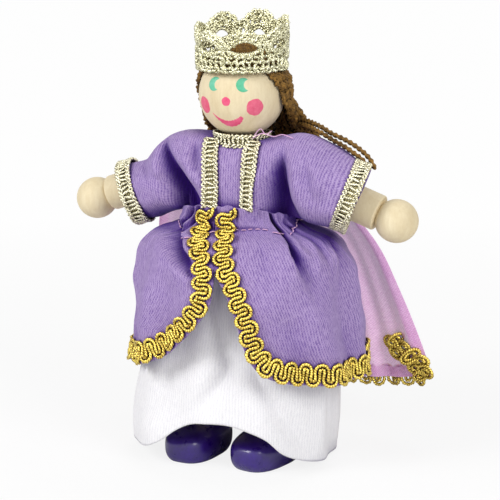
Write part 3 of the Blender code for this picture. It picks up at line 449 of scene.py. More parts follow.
def gauze_material(name, light, dark, pitch, cover):
    """Sheer cloth: open between its threads."""
    material, tree, shader = start_material(name)
    uv = flat_lengths(tree)
    fibres = noise(tree, 1.6, 3.0, uv, 0.7)
    tone = weigh(tree, (fibres, 0.6), (noise(tree, 160.0), 0.4))
    threads = weigh(tree, (weave(tree, uv, pitch, 0.0), 0.45), (tone, 0.55))
    dress(tree, shader, {
        "Base Color": ramp(tree, tone, [(0.3, dark), (0.7, light)]),
        "Roughness": grey(tree, fibres, (0.2, 0.75), (0.8, 0.92)),
        "Sheen Weight": 0.3, "Specular IOR Level": 0.2,
        "Alpha": grey(tree, threads, (0.25, cover[0]), (0.75, cover[1])),
        "Normal": bump(tree, threads, 0.08, 0.6)})
    return material


def metal_thread_material(name, light, dark, pitch=0.5, roughness=0.3, deep=None):
    """Metallised thread: a fine foil strip wound round a core, with painted highlights on its ridges and
    painted shade between them, and, given a deep colour, painted shade in its hollows.
    """
    material, tree, shader = start_material(name)
    split = add(tree, "SeparateXYZ", {0: flat_lengths(tree)})
    lean = weigh(tree, (split.outputs["Y"], 1.0), (split.outputs["X"], 0.55))
    winding = maths(tree, 'SINE', maths(tree, 'MULTIPLY', lean, 2 * math.pi / pitch))
    winding = maths(tree, 'ADD', maths(tree, 'MULTIPLY', winding, 0.5), 0.5)
    fleck = noise(tree, 900.0)
    tone = weigh(tree, (winding, 0.38), (fleck, 0.4), (noise(tree, 260.0, 2.0), 0.3))
    # painted highlight and shade along the winding: lighter on its ridges, darker in its grooves
    colour = ramp(tree, tone, [(0.3, dark), (0.52, mix(dark, light, 0.7)), (0.72, light)])
    # painted shade in the narrow gaps between cords
    if deep is not None:
        colour = painted_hollow_shade(tree, colour, deep, 1.3, 0.2, 0.68)
    dress(tree, shader, {
        "Base Color": colour, "Metallic": 0.85,
        "Roughness": grey(tree, fleck, (0.3, roughness), (0.7, roughness + 0.18)),
        "Normal": bump(tree, weigh(tree, (winding, 1.0), (fleck, 0.7)), 0.07, 0.8)})
    return material


def yarn_material(name, light, dark, deep):
    """Twisted yarn: fibres that lean with the twist, and lighter and darker yarns side by side, with painted
    shade where the yarns crowd together.
    """
    material, tree, shader = start_material(name)
    uv = flat_lengths(tree)
    split = add(tree, "SeparateXYZ", {0: uv})
    lean = weigh(tree, (split.outputs["X"], 2.4), (split.outputs["Y"], 1.0))
    drawn = add(tree, "CombineXYZ", {"X": maths(tree, 'MULTIPLY', lean, 1.5),
                                     "Y": maths(tree, 'MULTIPLY', split.outputs["Y"], 0.5)})
    fibres, fuzz = noise(tree, 1.0, 5.0, drawn.outputs[0], 0.7), noise(tree, 1300.0)
    tone = weigh(tree, (fibres, 0.5), (fuzz, 0.25), (noise(tree, 0.21, 1.0, uv), 0.3))
    colour = ramp(tree, tone, [(0.43, dark), (0.62, light)])
    dress(tree, shader, {
        # painted shade where the yarns crowd together
        "Base Color": painted_hollow_shade(tree, colour, deep, 1.5, 0.3, 0.8),
        "Roughness": grey(tree, fuzz, (0.2, 0.6), (0.8, 0.85)),
        "Sheen Weight": 0.3, "Sheen Tint": (*light, 1.0), "Specular IOR Level": 0.25,
        "Normal": bump(tree, tone, 0.2, 0.9)})
    return material


def wood_material(name, light, dark, roughness=0.45):
    """Pale turned wood: fine grain drawn out upwards, with small pores."""
    material, tree, shader = start_material(name)
    place = add(tree, "TexCoord").outputs["Object"]
    drawn = add(tree, "Mapping", {"Vector": place, "Scale": (1.0, 1.0, 0.16)}).outputs[0]
    grain, rings = noise(tree, 1100.0, 5.0, drawn, 0.65), noise(tree, 170.0, 2.0, drawn)
    tone = weigh(tree, (grain, 0.5), (rings, 0.4), (noise(tree, 2600.0, 2.0), 0.15))
    dress(tree, shader, {
        "Base Color": ramp(tree, tone, [(0.32, dark), (0.72, light)]),
        "Roughness": grey(tree, grain, (0.3, roughness), (0.7, roughness + 0.16)),
        "Specular IOR Level": 0.3, "Normal": bump(tree, tone, 0.03, 0.5)})
    return material


def paint_material(name, colour, worn, roughness, coat=0.0):
    """Brushed-on paint: a little uneven in tone and in gloss."""
    material, tree, shader = start_material(name)
    brush = noise(tree, 420.0, 4.0)
    tone = weigh(tree, (brush, 0.65), (noise(tree, 1600.0), 0.35))
    dress(tree, shader, {
        "Base Color": ramp(tree, tone, [(0.3, worn), (0.62, colour)]),
        "Roughness": grey(tree, brush, (0.3, roughness), (0.7, roughness + 0.14)),
        "Coat Weight": coat, "Coat Roughness": 0.12, "Normal": bump(tree, tone, 0.025, 0.5)})
    return material


# The last colour of LILAC and WHITE and the deep colour of GOLD, SILVER, LACE and HAIR are painted shade for
# folds, hollows and the gaps between threads.
LILAC = cloth_material("lilac_cloth", linear(180, 158, 203), linear(116, 89, 156), linear(66, 23, 134),
                       rib=0.5)
WHITE = cloth_material("white_cloth", linear(245, 244, 246), linear(229, 228, 232), linear(190, 187, 199),
                       pitch=0.6, rib=0.6, sheen=0.1, depth=0.07)
GAUZE = gauze_material("cape_gauze", linear(255, 216, 250), linear(234, 160, 226), 0.62, (0.68, 0.97))
GOLD = metal_thread_material("gold_thread", linear(255, 232, 116), linear(142, 94, 14), 0.6, 0.26,
                             deep=linear(66, 34, 0))
SILVER = metal_thread_material("silver_thread", linear(254, 250, 224), linear(138, 126, 74), 0.45, 0.3,
                               deep=linear(60, 50, 20))
# the braid's flat ground, coloured darker than its threads as painted shade in the gaps between them
BRAID_GROUND_GAP_SHADE = metal_thread_material("braid_ground_gap_shade", linear(186, 176, 130), linear(100, 90, 50), 0.6, 0.4)
LACE = metal_thread_material("lace_thread", linear(252, 250, 218), linear(128, 120, 56), 0.5, 0.3,
                             deep=linear(84, 76, 30))
HAIR = yarn_material("hair_yarn", linear(156, 116, 54), linear(54, 36, 11), linear(30, 17, 3))
WOOD = wood_material("pale_wood", linear(233, 220, 188), linear(212, 193, 154))
TORSO_WOOD = wood_material("torso_wood", linear(214, 178, 128), linear(172, 130, 82))
CORD = cloth_material("cord_cover", linear(226, 214, 188), linear(176, 160, 130), pitch=0.5)
WIRE = metal_thread_material("wire", linear(200, 200, 202), linear(120, 120, 124), 3.0, 0.35)
SHOE = paint_material("shoe_paint", linear(52, 20, 128), linear(38, 11, 102), 0.24, 0.5)
EYE = paint_material("eye_paint", linear(74, 178, 132), linear(118, 196, 172), 0.4)
RED = paint_material("red_paint", linear(222, 66, 112), linear(234, 112, 146), 0.4)
PINK = paint_material("cheek_paint", linear(220, 82, 116), linear(232, 118, 142), 0.42)
STITCH = cloth_material("stitch_thread", linear(240, 200, 230), linear(212, 156, 206), pitch=0.4)


# Wood: head, hands, forearms and shoes

def turned_piece(name, outline, origin, axis, steps=72):
    """A turned piece of wood: an outline of (radius, height) swept round an axis."""
    axis = np.array(axis, float)
    side = np.cross(axis, (0.0, 1.0, 0.0))
    side = side / np.linalg.norm(side)
    other = np.cross(axis, side)
    around = 2 * math.pi * np.arange(steps) / steps
    ring = np.cos(around)[:, None] * side + np.sin(around)[:, None] * other
    outline = np.array(outline, float)
    points = origin + outline[:, 1, None, None] * axis + outline[:, 0, None, None] * ring
    return grid_piece(name, points, WOOD, closed=True)


def arc(radius, middle, start, end, count):
    """Points (radius, height) on an arc of a turned outline; angles run from straight up, in degrees."""
    angle = np.radians(np.linspace(start, end, count))
    return np.column_stack([middle[0] + radius * np.sin(angle), middle[1] + radius * np.cos(angle)])


def build_head():
    hole = 2.8
    low = 180 - math.degrees(math.asin(hole / HEAD_R))
    outline = np.concatenate([arc(HEAD_R, (0, 0), 0.5, low, 90), [(hole, -5.0), (0.05, -4.6)]])
    settle(turned_piece("wooden_head", outline, HEAD, (0, 0, 1), 96), "head", "wood", "head_ball")


def build_arm(side, word):
    run, elbow = ARM_RUN * (side, 1, 1), ELBOW * (side, 1, 1)
    forearm, hand = "forearm_" + word, "hand_" + word
    rim, length, radius, edge = 0.35, 14.3, 4.2, 0.5
    top, bottom = -rim, -rim - length
    outline = np.concatenate([[(1.0, top - 1.0)], [(radius - edge - 0.6, top)],
                              arc(edge, (radius - edge, top - edge), 0, 90, 8),
                              arc(edge, (radius - edge, bottom + edge), 90, 180, 8), [(0.9, bottom)]])
    settle(turned_piece("wooden_" + forearm, outline, elbow, -run), forearm, "wood", forearm)
    hand_r = 5.0
    low, high = node_box(hand)
    outline = np.concatenate([[(0.3, 4.2), (1.6, 4.5)], arc(hand_r, (0, 0), 24, 179.5, 60)])
    settle(turned_piece("wooden_" + hand, outline, (low + high) / 2, -run), forearm, "wood", hand)


SHOE_TURN = {1: -13.0, -1: 6.0}     # degrees that each toe points away from the middle
TOE_DROP = 0.26                     # share of its height that a shoe loses towards the toe


def build_shoe(side, word):
    """A rounded painted shoe: a boxy oval, lower towards the toe, flat at the sole."""
    length, width, height, boxy = 20.4, 12.2, 9.0, 0.72
    heel, middle_z = 6.0, height * 0.4
    low, high = node_box("shoe_" + word)
    polar = np.radians(np.linspace(1, 179, 60))[:, None]
    around = 2 * math.pi * np.arange(80) / 80

    def rounded(value):
        return np.sign(value) * np.abs(value) ** boxy

    x = rounded(np.sin(polar) * np.cos(around))
    y = rounded(np.sin(polar) * np.sin(around))
    z = rounded(np.cos(polar) * np.ones_like(around))
    drop = 1 - TOE_DROP * ease((0.35 - y) / 1.35)
    tall = np.where(z > 0, (height - middle_z) * drop, height - middle_z)
    across, along = x * width / 2, heel - length / 2 + y * length / 2
    turn = side * math.radians(SHOE_TURN[side])
    points = np.stack([(low[0] + high[0]) / 2 + across * math.cos(turn) - along * math.sin(turn),
                       high[1] - heel + along * math.cos(turn) + across * math.sin(turn),
                       np.maximum(middle_z + z * tall, 0.0)], axis=-1)
    piece = grid_piece("painted_shoe_" + word, points, SHOE, closed=True)
    settle(piece, "shin_" + word, "shoe_paint", "shoe_" + word)


# Painted face: angles on the ball in degrees from the front, to the doll's left and up
FACE_TURN = 1.4
EYE_TURN, EYE_RISE = 21.6, 18.0
EYE_R, EYE_BITE_R = 1.68, 1.3
NOSE_RISE, NOSE_R = -4.2, 1.05
CHEEK_TURN, CHEEK_RISE, CHEEK_R = 39.3, -12.0, 2.05
SMILE_TURN, SMILE_RISE = -0.5, -33.0
SMILE = [                           # share of the way along, across, up, width
    (0.0, -4.1, 1.75, 0.1), (0.25, -2.2, 0.3, 0.85), (0.5, 0.1, -0.75, 1.8), (0.75, 2.2, -0.25, 1.75),
    (1.0, 3.7, 1.0, 0.9),
]
PAINT_LIFT, PAINT_CLEAR = 0.045, 0.008


def face_piece(name, turn, rise, across, up, thick, material, closed=False):
    """Paint on the head ball, from flat lengths across and up about one direction."""
    turn, rise = math.radians(FACE_TURN + turn), math.radians(rise)
    out = direction(turn, rise)
    right = np.array([math.cos(turn), math.sin(turn), 0.0])
    high = np.cross(out, right)
    toward = unit(out * HEAD_R + across[..., None] * right + up[..., None] * high)
    points = HEAD + toward * (HEAD_R + PAINT_LIFT * thick + PAINT_CLEAR)[..., None]
    settle(grid_piece(name, points, material, closed), "head", "wood")


def paint_spot(name, turn, rise, radius, material):
    """A round painted spot with a slightly uneven edge."""
    share = np.linspace(0.02, 1, 12)[:, None]
    around = 2 * math.pi * np.arange(48) / 48
    edge = radius * (1 + 0.025 * np.sin(5 * around + turn) + 0.015 * np.sin(11 * around))
    across, up = share * edge * np.cos(around), share * edge * np.sin(around)
    thick = np.sqrt(1 - share ** 4) * np.ones_like(around)
    face_piece(name, turn, rise, across, up, thick, material, closed=True)


def paint_eye(name, turn):
    """A painted crescent with two horns, open towards the doll's left: what one round leaves of another."""
    share = np.linspace(0, 1, 10)
    sweep = np.linspace(-1, 1, 48)[:, None]
    outer = math.pi + sweep * math.radians(129.4)
    inner = math.pi + sweep * math.radians(74.5)
    across = mix(0.3 + EYE_R * np.cos(outer), 1.72 + EYE_BITE_R * np.cos(inner), share)
    up = mix(EYE_R * np.sin(outer), EYE_BITE_R * np.sin(inner), share)
    thick = np.sin(math.pi * share) ** 0.4 * np.ones_like(sweep)
    face_piece(name, turn, EYE_RISE, across, up, thick, EYE)


def paint_smile():
    """A brushed smile: pointed at one end, round at the other, with a rough lower edge."""
    share = np.linspace(0, 1, 70)[:, None]
    across_share = np.linspace(-0.5, 0.5, 9)
    line = through(SMILE, share[:, 0])
    rough = 1 + 0.1 * np.sin(share[:, 0] * 61) + 0.07 * np.sin(share[:, 0] * 113 + 1)
    along = unit(np.gradient(line[:, :2], axis=0))
    width = (line[:, 2] * rough)[:, None]
    across = line[:, :1] - along[:, 1:] * across_share * width
    up = line[:, 1:2] + along[:, :1] * across_share * width
    thick = (1 - (2 * across_share) ** 4) * np.ones_like(share)
    face_piece("painted_smile", SMILE_TURN, SMILE_RISE, across, up, thick, RED)


def build_face():
    for side, word in SIDES:
        paint_eye("painted_eye_" + word, side * EYE_TURN)
        paint_spot("painted_cheek_" + word, side * CHEEK_TURN, CHEEK_RISE, CHEEK_R, PINK)
    paint_spot("painted_nose", 0.0, NOSE_RISE, NOSE_R, RED)
    paint_smile()


# Ribbons: a line on the clothes with its across and outward directions, to lay braid on

def ribbon_from(points, normals):
    """A ribbon along points on a surface; across runs to its left, seen from outside."""
    tangent = unit(np.gradient(points, axis=0))
    across = unit(np.cross(normals, tangent))
    out = unit(np.cross(tangent, across))
    return {"run": run_length(points), "points": points, "across": across, "out": out}


def on_ribbon(ribbon, along, across, lift):
    """Places on a ribbon at lengths along it, across it and off it."""
    def read(values):
        return np.column_stack([np.interp(along, ribbon["run"], values[:, axis]) for axis in range(3)])

    out = unit(read(ribbon["out"]))
    across = np.broadcast_to(across, np.shape(along))
    lift = np.broadcast_to(lift, np.shape(along))
    return read(ribbon["points"]) + read(ribbon["across"]) * across[:, None] + out * lift[:, None], out


SILVER_WIDTH, NECK_WIDTH = 3.9, 3.2
SILVER_CORD = dict(radius=0.29, material=SILVER, sides=8, plies=2, pitch=1.0)
RUNG_STEP = 1.05
RAIL_STEP = 0.16
RAIL_LANES = ((0.34, 0.0), (0.78, math.pi))     # distance from the edge, start of the twist


def ladder_braid(name, ribbon, width=SILVER_WIDTH):
    """Woven braid: a flat ground, darker than its threads as painted shade in the gaps, two twisted rails
    along each edge and short rungs between them.
    """
    length = ribbon["run"][-1]
    along = np.arange(0, length, RAIL_STEP)
    lines = []
    for edge in (-1, 1):
        for lane, turn in RAIL_LANES:
            wave = 2 * math.pi * along / RUNG_STEP + turn + 0.7 * np.sin(along * 1.3 + 5 * lane)
            across = edge * (width / 2 - lane) + 0.2 * np.sin(wave)
            lines.append(on_ribbon(ribbon, along, across, 0.42 + 0.15 * np.cos(wave)))
    share = np.linspace(-1, 1, 7)
    for middle in np.arange(RUNG_STEP / 2, length, RUNG_STEP):
        place = np.clip(middle + RANDOM.uniform(-0.35, 0.35) * share, 0, length)
        lines.append(on_ribbon(ribbon, place, share * (width / 2 - 0.75), 0.34 + 0.14 * (1 - share ** 2)))
    paths, hints = zip(*lines)
    threads = thread_piece(name, paths, hints=hints, **SILVER_CORD)
    steps = np.clip(np.arange(0, length + 0.2, 0.4), 0, length)
    lanes = np.linspace(-width / 2 + 0.2, width / 2 - 0.2, 7)
    rows = [on_ribbon(ribbon, steps, across, 0.14)[0] for across in lanes]
    return threads, grid_piece(name + "_ground", np.stack(rows), BRAID_GROUND_GAP_SHADE)


GOLD_PERIOD = 3.9
GOLD_SWING = 1.8
GOLD_LOOP = -0.4
GOLD_CORD = dict(radius=0.4, material=GOLD, sides=7, plies=2, pitch=1.1)
GOLD_LANES = (-0.5, 0.5)
GOLD_LIFT = 0.5


def loop_braid(name, ribbon, clear, middle):
    """Gold cords side by side that wind from edge to edge of a ribbon, clear of its ends."""
    run = np.arange(clear, ribbon["run"][-1] - clear, 0.1)
    phase = 2 * math.pi * run / GOLD_PERIOD
    along = run + GOLD_LOOP * np.sin(2 * phase)
    across = GOLD_SWING * mix(0.9, 1.06, ease((run - 28) / 18)) * np.sin(phase)
    heading = unit(np.column_stack([np.gradient(along), np.gradient(across)]))
    lines = []
    for lane in GOLD_LANES:
        lane_along = np.clip(along - heading[:, 1] * lane, 0, ribbon["run"][-1])
        lane_across = middle + across + heading[:, 0] * lane
        height = GOLD_LIFT + 0.16 * np.cos(2 * math.pi * run / 1.3 + 4 * lane)
        lines.append(on_ribbon(ribbon, lane_along, lane_across, height))
    paths, hints = zip(*lines)
    return thread_piece(name, paths, hints=hints, **GOLD_CORD)


# Robe top: one cloth from cuff to cuff, folded over the shoulders
ROBE_STATIONS = {                   # share of the way to the cuff, top x and z, bottom x and z, half-depth
    1: [(0.00, 0.0, 76.5, 0.0, 57.6, 8.7), (0.18, 6.0, 76.9, 6.0, 57.6, 8.6),
        (0.30, 10.0, 77.6, 10.0, 57.9, 8.5), (0.42, 14.2, 78.5, 13.4, 58.8, 8.5),
        (0.54, 18.0, 78.0, 16.4, 58.4, 8.8), (0.66, 22.0, 76.4, 19.2, 57.6, 9.0),
        (0.82, 27.0, 73.8, 22.3, 57.2, 8.8), (1.00, 31.8, 70.9, 25.3, 57.3, 8.3)],
    -1: [(0.00, 0.0, 76.5, 0.0, 57.6, 8.7), (0.18, 6.0, 77.2, 6.0, 57.6, 8.6),
         (0.30, 10.0, 77.7, 10.0, 58.2, 8.5), (0.42, 14.0, 77.7, 13.2, 59.0, 8.6),
         (0.54, 18.2, 76.2, 16.4, 58.4, 8.8), (0.64, 21.0, 73.8, 19.0, 57.4, 8.6),
         (0.72, 23.4, 70.8, 20.8, 56.5, 8.3), (0.84, 28.0, 69.0, 23.5, 55.8, 8.1),
         (1.00, 32.4, 68.6, 26.2, 54.9, 8.2)],
}
ROBE_SIDE = 12.4                    # half-width at the waist
ROBE_SEAM_Z = 66.8                  # level line on the cloth where the upper and lower shoulder pieces meet
NECK_HOLE, NECK_LOW = 5.5, 70.0     # radius of the hole, and the level that it lies above
ROBE_ROUND = 72
RING_SHARE = 0.70                   # where the outer sleeve starts
CUFF_SKEW = 0.30                    # how far the cuffs lean, per unit of depth
CHEST_SPLIT = {1: 6.5, -1: -4.05}   # under the chest braids
CUFF_SHARE = 0.925                  # where the cuff's braid lies
BRAID_GAP = 0.1                     # from the cloth to the silver braid
CHEST_LINES = {                     # share of the way up, x, level
    1: [(0.0, 5.3, 0.19), (0.6, 5.3, 0.7), (1.0, 5.0, 0.975)],
    -1: [(0.0, -4.0, 0.19), (0.6, -4.5, 0.7), (1.0, -5.2, 0.975)],
}
# Fold paths on the front, rows of (x, z, width, depth)
ROBE_FOLDS = {
    1: [[(12.9, 75.6, 1.0, 0.2), (12.7, 73.2, 1.3, 1.8), (12.2, 70.2, 1.7, 4.8), (12.0, 66.6, 2.1, 7.1),
         (12.2, 63.0, 2.4, 8.0), (12.2, 59.4, 2.5, 7.8)],
        [(8.4, 75.4, 0.8, 0.0), (8.8, 70.4, 1.0, 0.5), (9.0, 65.4, 1.1, 0.6), (9.2, 60.4, 1.2, 0.3)],
        [(18.4, 75.4, 0.9, 0.0), (19.2, 70.8, 1.1, 0.9), (20.0, 66.4, 1.2, 0.9), (20.6, 62.4, 1.2, 0.3)],
        [(24.6, 71.8, 0.9, 0.0), (24.0, 68.0, 1.1, 0.6), (22.8, 64.0, 1.2, 0.7), (20.8, 60.6, 1.2, 0.3)]],
    -1: [[(-18.6, 76.0, 0.8, 0.8), (-17.2, 73.2, 1.2, 3.4), (-15.0, 69.8, 1.7, 5.6), (-12.8, 66.2, 2.1, 7.0),
          (-10.9, 63.0, 2.3, 7.6), (-9.6, 59.6, 2.3, 7.2)],
         [(-9.2, 76.6, 0.8, 0.3), (-8.8, 73.6, 1.0, 1.5), (-8.0, 70.4, 1.0, 0.8), (-7.4, 67.0, 1.0, 0.0)],
         [(-22.0, 71.4, 0.9, 0.0), (-19.2, 68.0, 1.1, 0.9), (-16.6, 65.0, 1.2, 1.0), (-13.6, 61.8, 1.2, 0.4)],
         [(-24.5, 70.2, 0.8, 0.0), (-22.9, 69.0, 0.9, 1.2), (-21.2, 66.8, 1.0, 0.8),
          (-19.4, 64.6, 1.0, 0.0)]],
}
SLEEVE_WAVES = [(9.0, 64, 0.4, 0.20), (6.3, 118, 1.9, 0.14), (4.4, 80, 2.7, 0.08), (13.0, 30, 0.9, 0.22)]
SHOULDER_BLEND = (15.9, 0.0)        # x where a piece would follow the arm fully, and how far above the seam
UNDERARM_BLEND = (14.32, 3.16)
MIDDLE_COLUMNS, SHOULDER_COLUMNS, SLEEVE_COLUMNS = 40, 64, 40
ROBE_DEPTH = 8.7                    # half-depth of the bodice
ROBE_FULL_SHADE_DEPTH = 8.4                     # depth of fold, in millimetres, that gets the full painted shade


def robe_press(x, height):
    """How deep the folds press the robe's front in."""
    return sum(crease(x, height, path, 1.5, 0.14) for side, _ in SIDES for path in ROBE_FOLDS[side])


def robe_fold_shade(points):
    """Painted fold shade: share that each point of the robe's front is folded in."""
    press = robe_press(points[..., 0], points[..., 2])
    return np.where(points[..., 1] < 0, np.clip(press / ROBE_FULL_SHADE_DEPTH, 0, 1) ** 1.3, 0.0)


def robe_point(share, level, front):
    """A place on the robe top: share runs from right cuff -1 to left cuff 1, level from waist 0 to top 1."""
    side = np.where(share < 0, -1.0, 1.0)
    station = robe_station(share)
    top_x, top_z, low_x, low_z, depth = np.moveaxis(station, -1, 0)
    reach = mix(low_x, top_x, level)
    height = mix(low_z, top_z, level)
    inner = np.sqrt(np.clip(1 - (reach / ROBE_SIDE) ** 2, 0, 1))
    tubular = 2 * np.sqrt(np.clip(level * (1 - level), 0, 1))
    flat = np.clip(1 - np.clip(level, 0, 1) ** 4, 0, 1) ** 0.25
    out = mix(tubular * depth, flat * ROBE_DEPTH, inner)
    x = side * reach
    if front:
        press = robe_press(x, height)
        out = np.maximum(out - press * np.clip(out / 4, 0, 1) ** 0.5, np.minimum(out, 1.0))
    away = ease((np.abs(x) - 4) / 8) * np.clip(out / 3, 0, 1)
    out = out + ripples(x, height * (1 if front else 1.2), SLEEVE_WAVES) * away
    y = -out if front else out
    skew = CUFF_SKEW * ease((np.abs(share) - RING_SHARE - 0.02) / 0.25)
    return np.stack([x - skew * y, y, height], axis=-1)


def robe_station(share):
    """The robe's top, bottom and depth at one share of the way to a cuff."""
    left, right = [through(ROBE_STATIONS[side], np.abs(share)) for side in (1, -1)]
    return np.where(np.asarray(share)[..., None] < 0, right, left)


def robe_levels(share):
    """Levels from waist to top, spaced so that the middle one lies on the level seam line."""
    station = robe_station(np.clip(share, -RING_SHARE, RING_SHARE))
    middle = (ROBE_SEAM_Z - station[..., 3]) / (station[..., 1] - station[..., 3])
    power = np.log(middle) / math.log(0.5)
    even = (1 - np.cos(np.linspace(0, math.pi, ROBE_ROUND + 1))) / 2
    return even[:, None] ** power


def share_at(x):
    """Share of the way to the cuff where the robe's column stands at this x, inside the shoulders."""
    places = np.linspace(0, 0.42, 200)
    found = through(ROBE_STATIONS[1 if x > 0 else -1], places)[:, 0]
    return float(np.sign(x) * np.interp(abs(x), found, places))


def robe_grid(shares, rows):
    """Points over the front from waist to top, then down the back; rows picks upper, lower or all."""
    levels = robe_levels(shares)
    shares = np.broadcast_to(shares, levels.shape)
    front, back = [robe_point(shares, levels, is_front) for is_front in (True, False)]
    half = ROBE_ROUND // 2
    if rows == "upper":
        return np.concatenate([front[half:], back[half:-1][::-1]])
    if rows == "lower":
        return np.concatenate([back[:half + 1][::-1], front[:half + 1]])
    return np.concatenate([front, back[:-1][::-1]])


def robe_piece(name, shares, rows, painted_fold_shade=True):
    """A piece of the robe top, open at the neck."""
    points = robe_grid(shares, rows)
    keep = (np.hypot(points[..., 0], points[..., 1]) > NECK_HOLE) | (points[..., 2] < NECK_LOW)
    return grid_piece(name, points, LILAC, keep=keep, fold=robe_fold_shade(points) if painted_fold_shade else None)


def follow_arm(piece, side, word, end, rise):
    """Bakes the piece's placement into its mesh; it does not follow the arm."""
    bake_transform(piece)


def build_robe_top():
    split = {side: share_at(CHEST_SPLIT[side]) for side, _ in SIDES}
    middle = robe_piece("robe_middle", np.linspace(split[-1], split[1], MIDDLE_COLUMNS), "all")
    settle(middle, "torso", "robe", "robe_bodice")
    for side, word in SIDES:
        shares = side * np.linspace(abs(split[side]), RING_SHARE, SHOULDER_COLUMNS)
        upper = robe_piece("robe_shoulder_" + word, shares, "upper")
        follow_arm(upper, side, word, *SHOULDER_BLEND)
        lower = robe_piece("robe_underarm_" + word, shares, "lower")
        follow_arm(lower, side, word, *UNDERARM_BLEND)
        shares = side * np.linspace(RING_SHARE, 1, SLEEVE_COLUMNS)
        outer = robe_piece("robe_sleeve_" + word, shares, "all", painted_fold_shade=False)
        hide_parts("sleeve_" + word)
        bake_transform(outer)


def chest_ribbon(side):
    """Line of a chest braid, from the waist up to the neck band."""
    x, level = through(CHEST_LINES[side], np.linspace(0, 1, 60)).T

    def place(shift):
        return robe_point(np.array([share_at(at + shift) for at in x]), level, True)

    line = place(0.0)
    normal = unit(np.cross(unit(np.gradient(line, axis=0)), unit(place(-0.3) - line)))
    return ribbon_from(line + normal * BRAID_GAP, normal)


def ring_ribbon(radius, height):
    angle = np.linspace(0, 2 * math.pi, 160)
    out = np.column_stack([np.sin(angle), -np.cos(angle), np.zeros(len(angle))])
    return ribbon_from(radius * out + np.array([0.0, 0.0, height]), out)


def cuff_ribbon(side):
    """Line round a sleeve, close to its end."""
    share = np.full((ROBE_ROUND + 1, 1), side * CUFF_SHARE)
    levels = robe_levels(share[0])
    front, back = [robe_point(share, levels, is_front)[:, 0] for is_front in (True, False)]
    line = smooth_path(np.concatenate([front[:-1], back[::-1]])[::4], 160)
    run = ARM_RUN * (side, 1, 1)
    out = line - line.mean(axis=0)
    out = unit(out - (out @ run)[:, None] * run)
    return ribbon_from(line + out * BRAID_GAP, out)


def braid_pieces(name, node, ribbon, body, width=SILVER_WIDTH):
    threads, ground = ladder_braid(name, ribbon, width)
    settle(threads, body, "silver_braid", node)
    settle(ground, body, "silver_braid")


def build_silver_braid():
    braid_pieces("neck_band", "neck_braid", ring_ribbon(6.0, 76.6), "torso", NECK_WIDTH)
    for side, word in SIDES:
        braid_pieces("chest_band_" + word, "chest_braid_" + word, chest_ribbon(side), "torso")
        braid_pieces("cuff_band_" + word, "cuff_braid_" + word, cuff_ribbon(side), "forearm_" + word)


# Skirts

GATHER_Z = 56.27
HEADER, HEADER_SIDE = 5.8, 2.3      # height of the ruffle above the stitches, and under the arms
OVERSKIRT_LENGTH = 33.0
OVERSKIRT_PROFILE = [               # height, then reach to the doll's left, right, front and back
    (23.0, 30.2, 25.8, 24.8, 27.6), (30.0, 29.6, 25.9, 24.6, 27.5), (38.0, 28.4, 25.8, 23.8, 26.5),
    (45.0, 27.4, 25.5, 21.8, 23.6), (50.0, 26.7, 24.8, 18.8, 19.8), (53.0, 24.8, 23.0, 15.8, 16.4),
    (55.0, 22.2, 20.0, 13.0, 13.4), (56.3, 18.2, 16.2, 10.7, 11.1), (58.2, 15.0, 14.8, 10.2, 10.6),
    (61.6, 14.6, 14.4, 10.3, 10.7),
]
OVERSKIRT_FOLD = 0.034
OVERSKIRT_FOLDS = 11
GATHERS = 74
GATHER_DEPTH = 0.22
GATHER_FADE = 6.0
# Middle line of the gold braid on each panel, rows of (angle in degrees towards its own side, height)
BRAID_LINES = {
    1: [(2.6, 61.8), (1.4, 58.0), (2.4, 56.0), (4.2, 54.0), (6.0, 51.7), (10.0, 48.4), (14.4, 45.8),
        (18.4, 42.2), (22.0, 38.6), (24.6, 34.1), (27.5, 30.8), (32.0, 28.4), (38.8, 27.0), (47.9, 26.0),
        (57.9, 25.5), (72.0, 25.0), (91.5, 24.8), (120.0, 24.8), (150.0, 24.8), (180.0, 24.8)],
    -1: [(18.0, 61.8), (20.6, 58.6), (19.6, 56.6), (14.0, 54.6), (8.1, 52.7), (3.5, 49.5), (1.1, 46.5),
         (0.6, 42.7), (3.4, 39.7), (8.2, 36.8), (14.5, 34.2), (23.5, 31.1), (36.0, 28.4), (51.7, 26.6),
         (72.0, 25.6), (95.0, 25.0), (120.0, 24.8), (150.0, 24.8), (180.0, 24.8)],
}
FRONT_MARGIN, HEM_MARGIN = 1.9, 2.5  # from the middle of the braid to the cloth's edge
UNDERSKIRT_TOP = 57.5
UNDERSKIRT_PROFILE = [              # height, then reach to the doll's left, right, front and back
    (0.8, 21.8, 27.0, 21.2, 24.2), (10.0, 22.8, 27.2, 21.0, 24.0), (20.0, 22.8, 25.3, 20.2, 23.0),
    (30.0, 21.6, 22.8, 18.5, 20.9), (40.0, 17.6, 18.6, 15.7, 17.4), (50.0, 12.4, 13.0, 11.7, 12.6),
    (57.5, 7.8, 7.8, 7.8, 7.8),
]
UNDERSKIRT_HEM = [                  # angle in degrees, height
    (-180, 1.3), (-110, 1.6), (-68, 3.4), (-47, 4.3), (-33, 5.7), (-27, 7.4), (-21, 9.7), (-11, 12.2),
    (0, 13.1), (10, 13.0), (20, 12.1), (34, 9.8), (44, 6.5), (61, 3.6), (77, 2.1), (98, 1.2), (180, 1.3),
]
UNDERSKIRT_FOLDS = 9


def folds(angle, count, start):
    """Uneven soft folds round a skirt, between about -1 and 1."""
    return 0.65 * np.cos(count * angle + start) + 0.35 * np.cos((count + 3) * angle + 2 * start)


def oval(side, front, angle, height):
    """Points on level ovals; the angle is 0 straight ahead and grows to the doll's left."""
    return np.stack([side * np.sin(angle), -front * np.cos(angle), height], axis=-1)


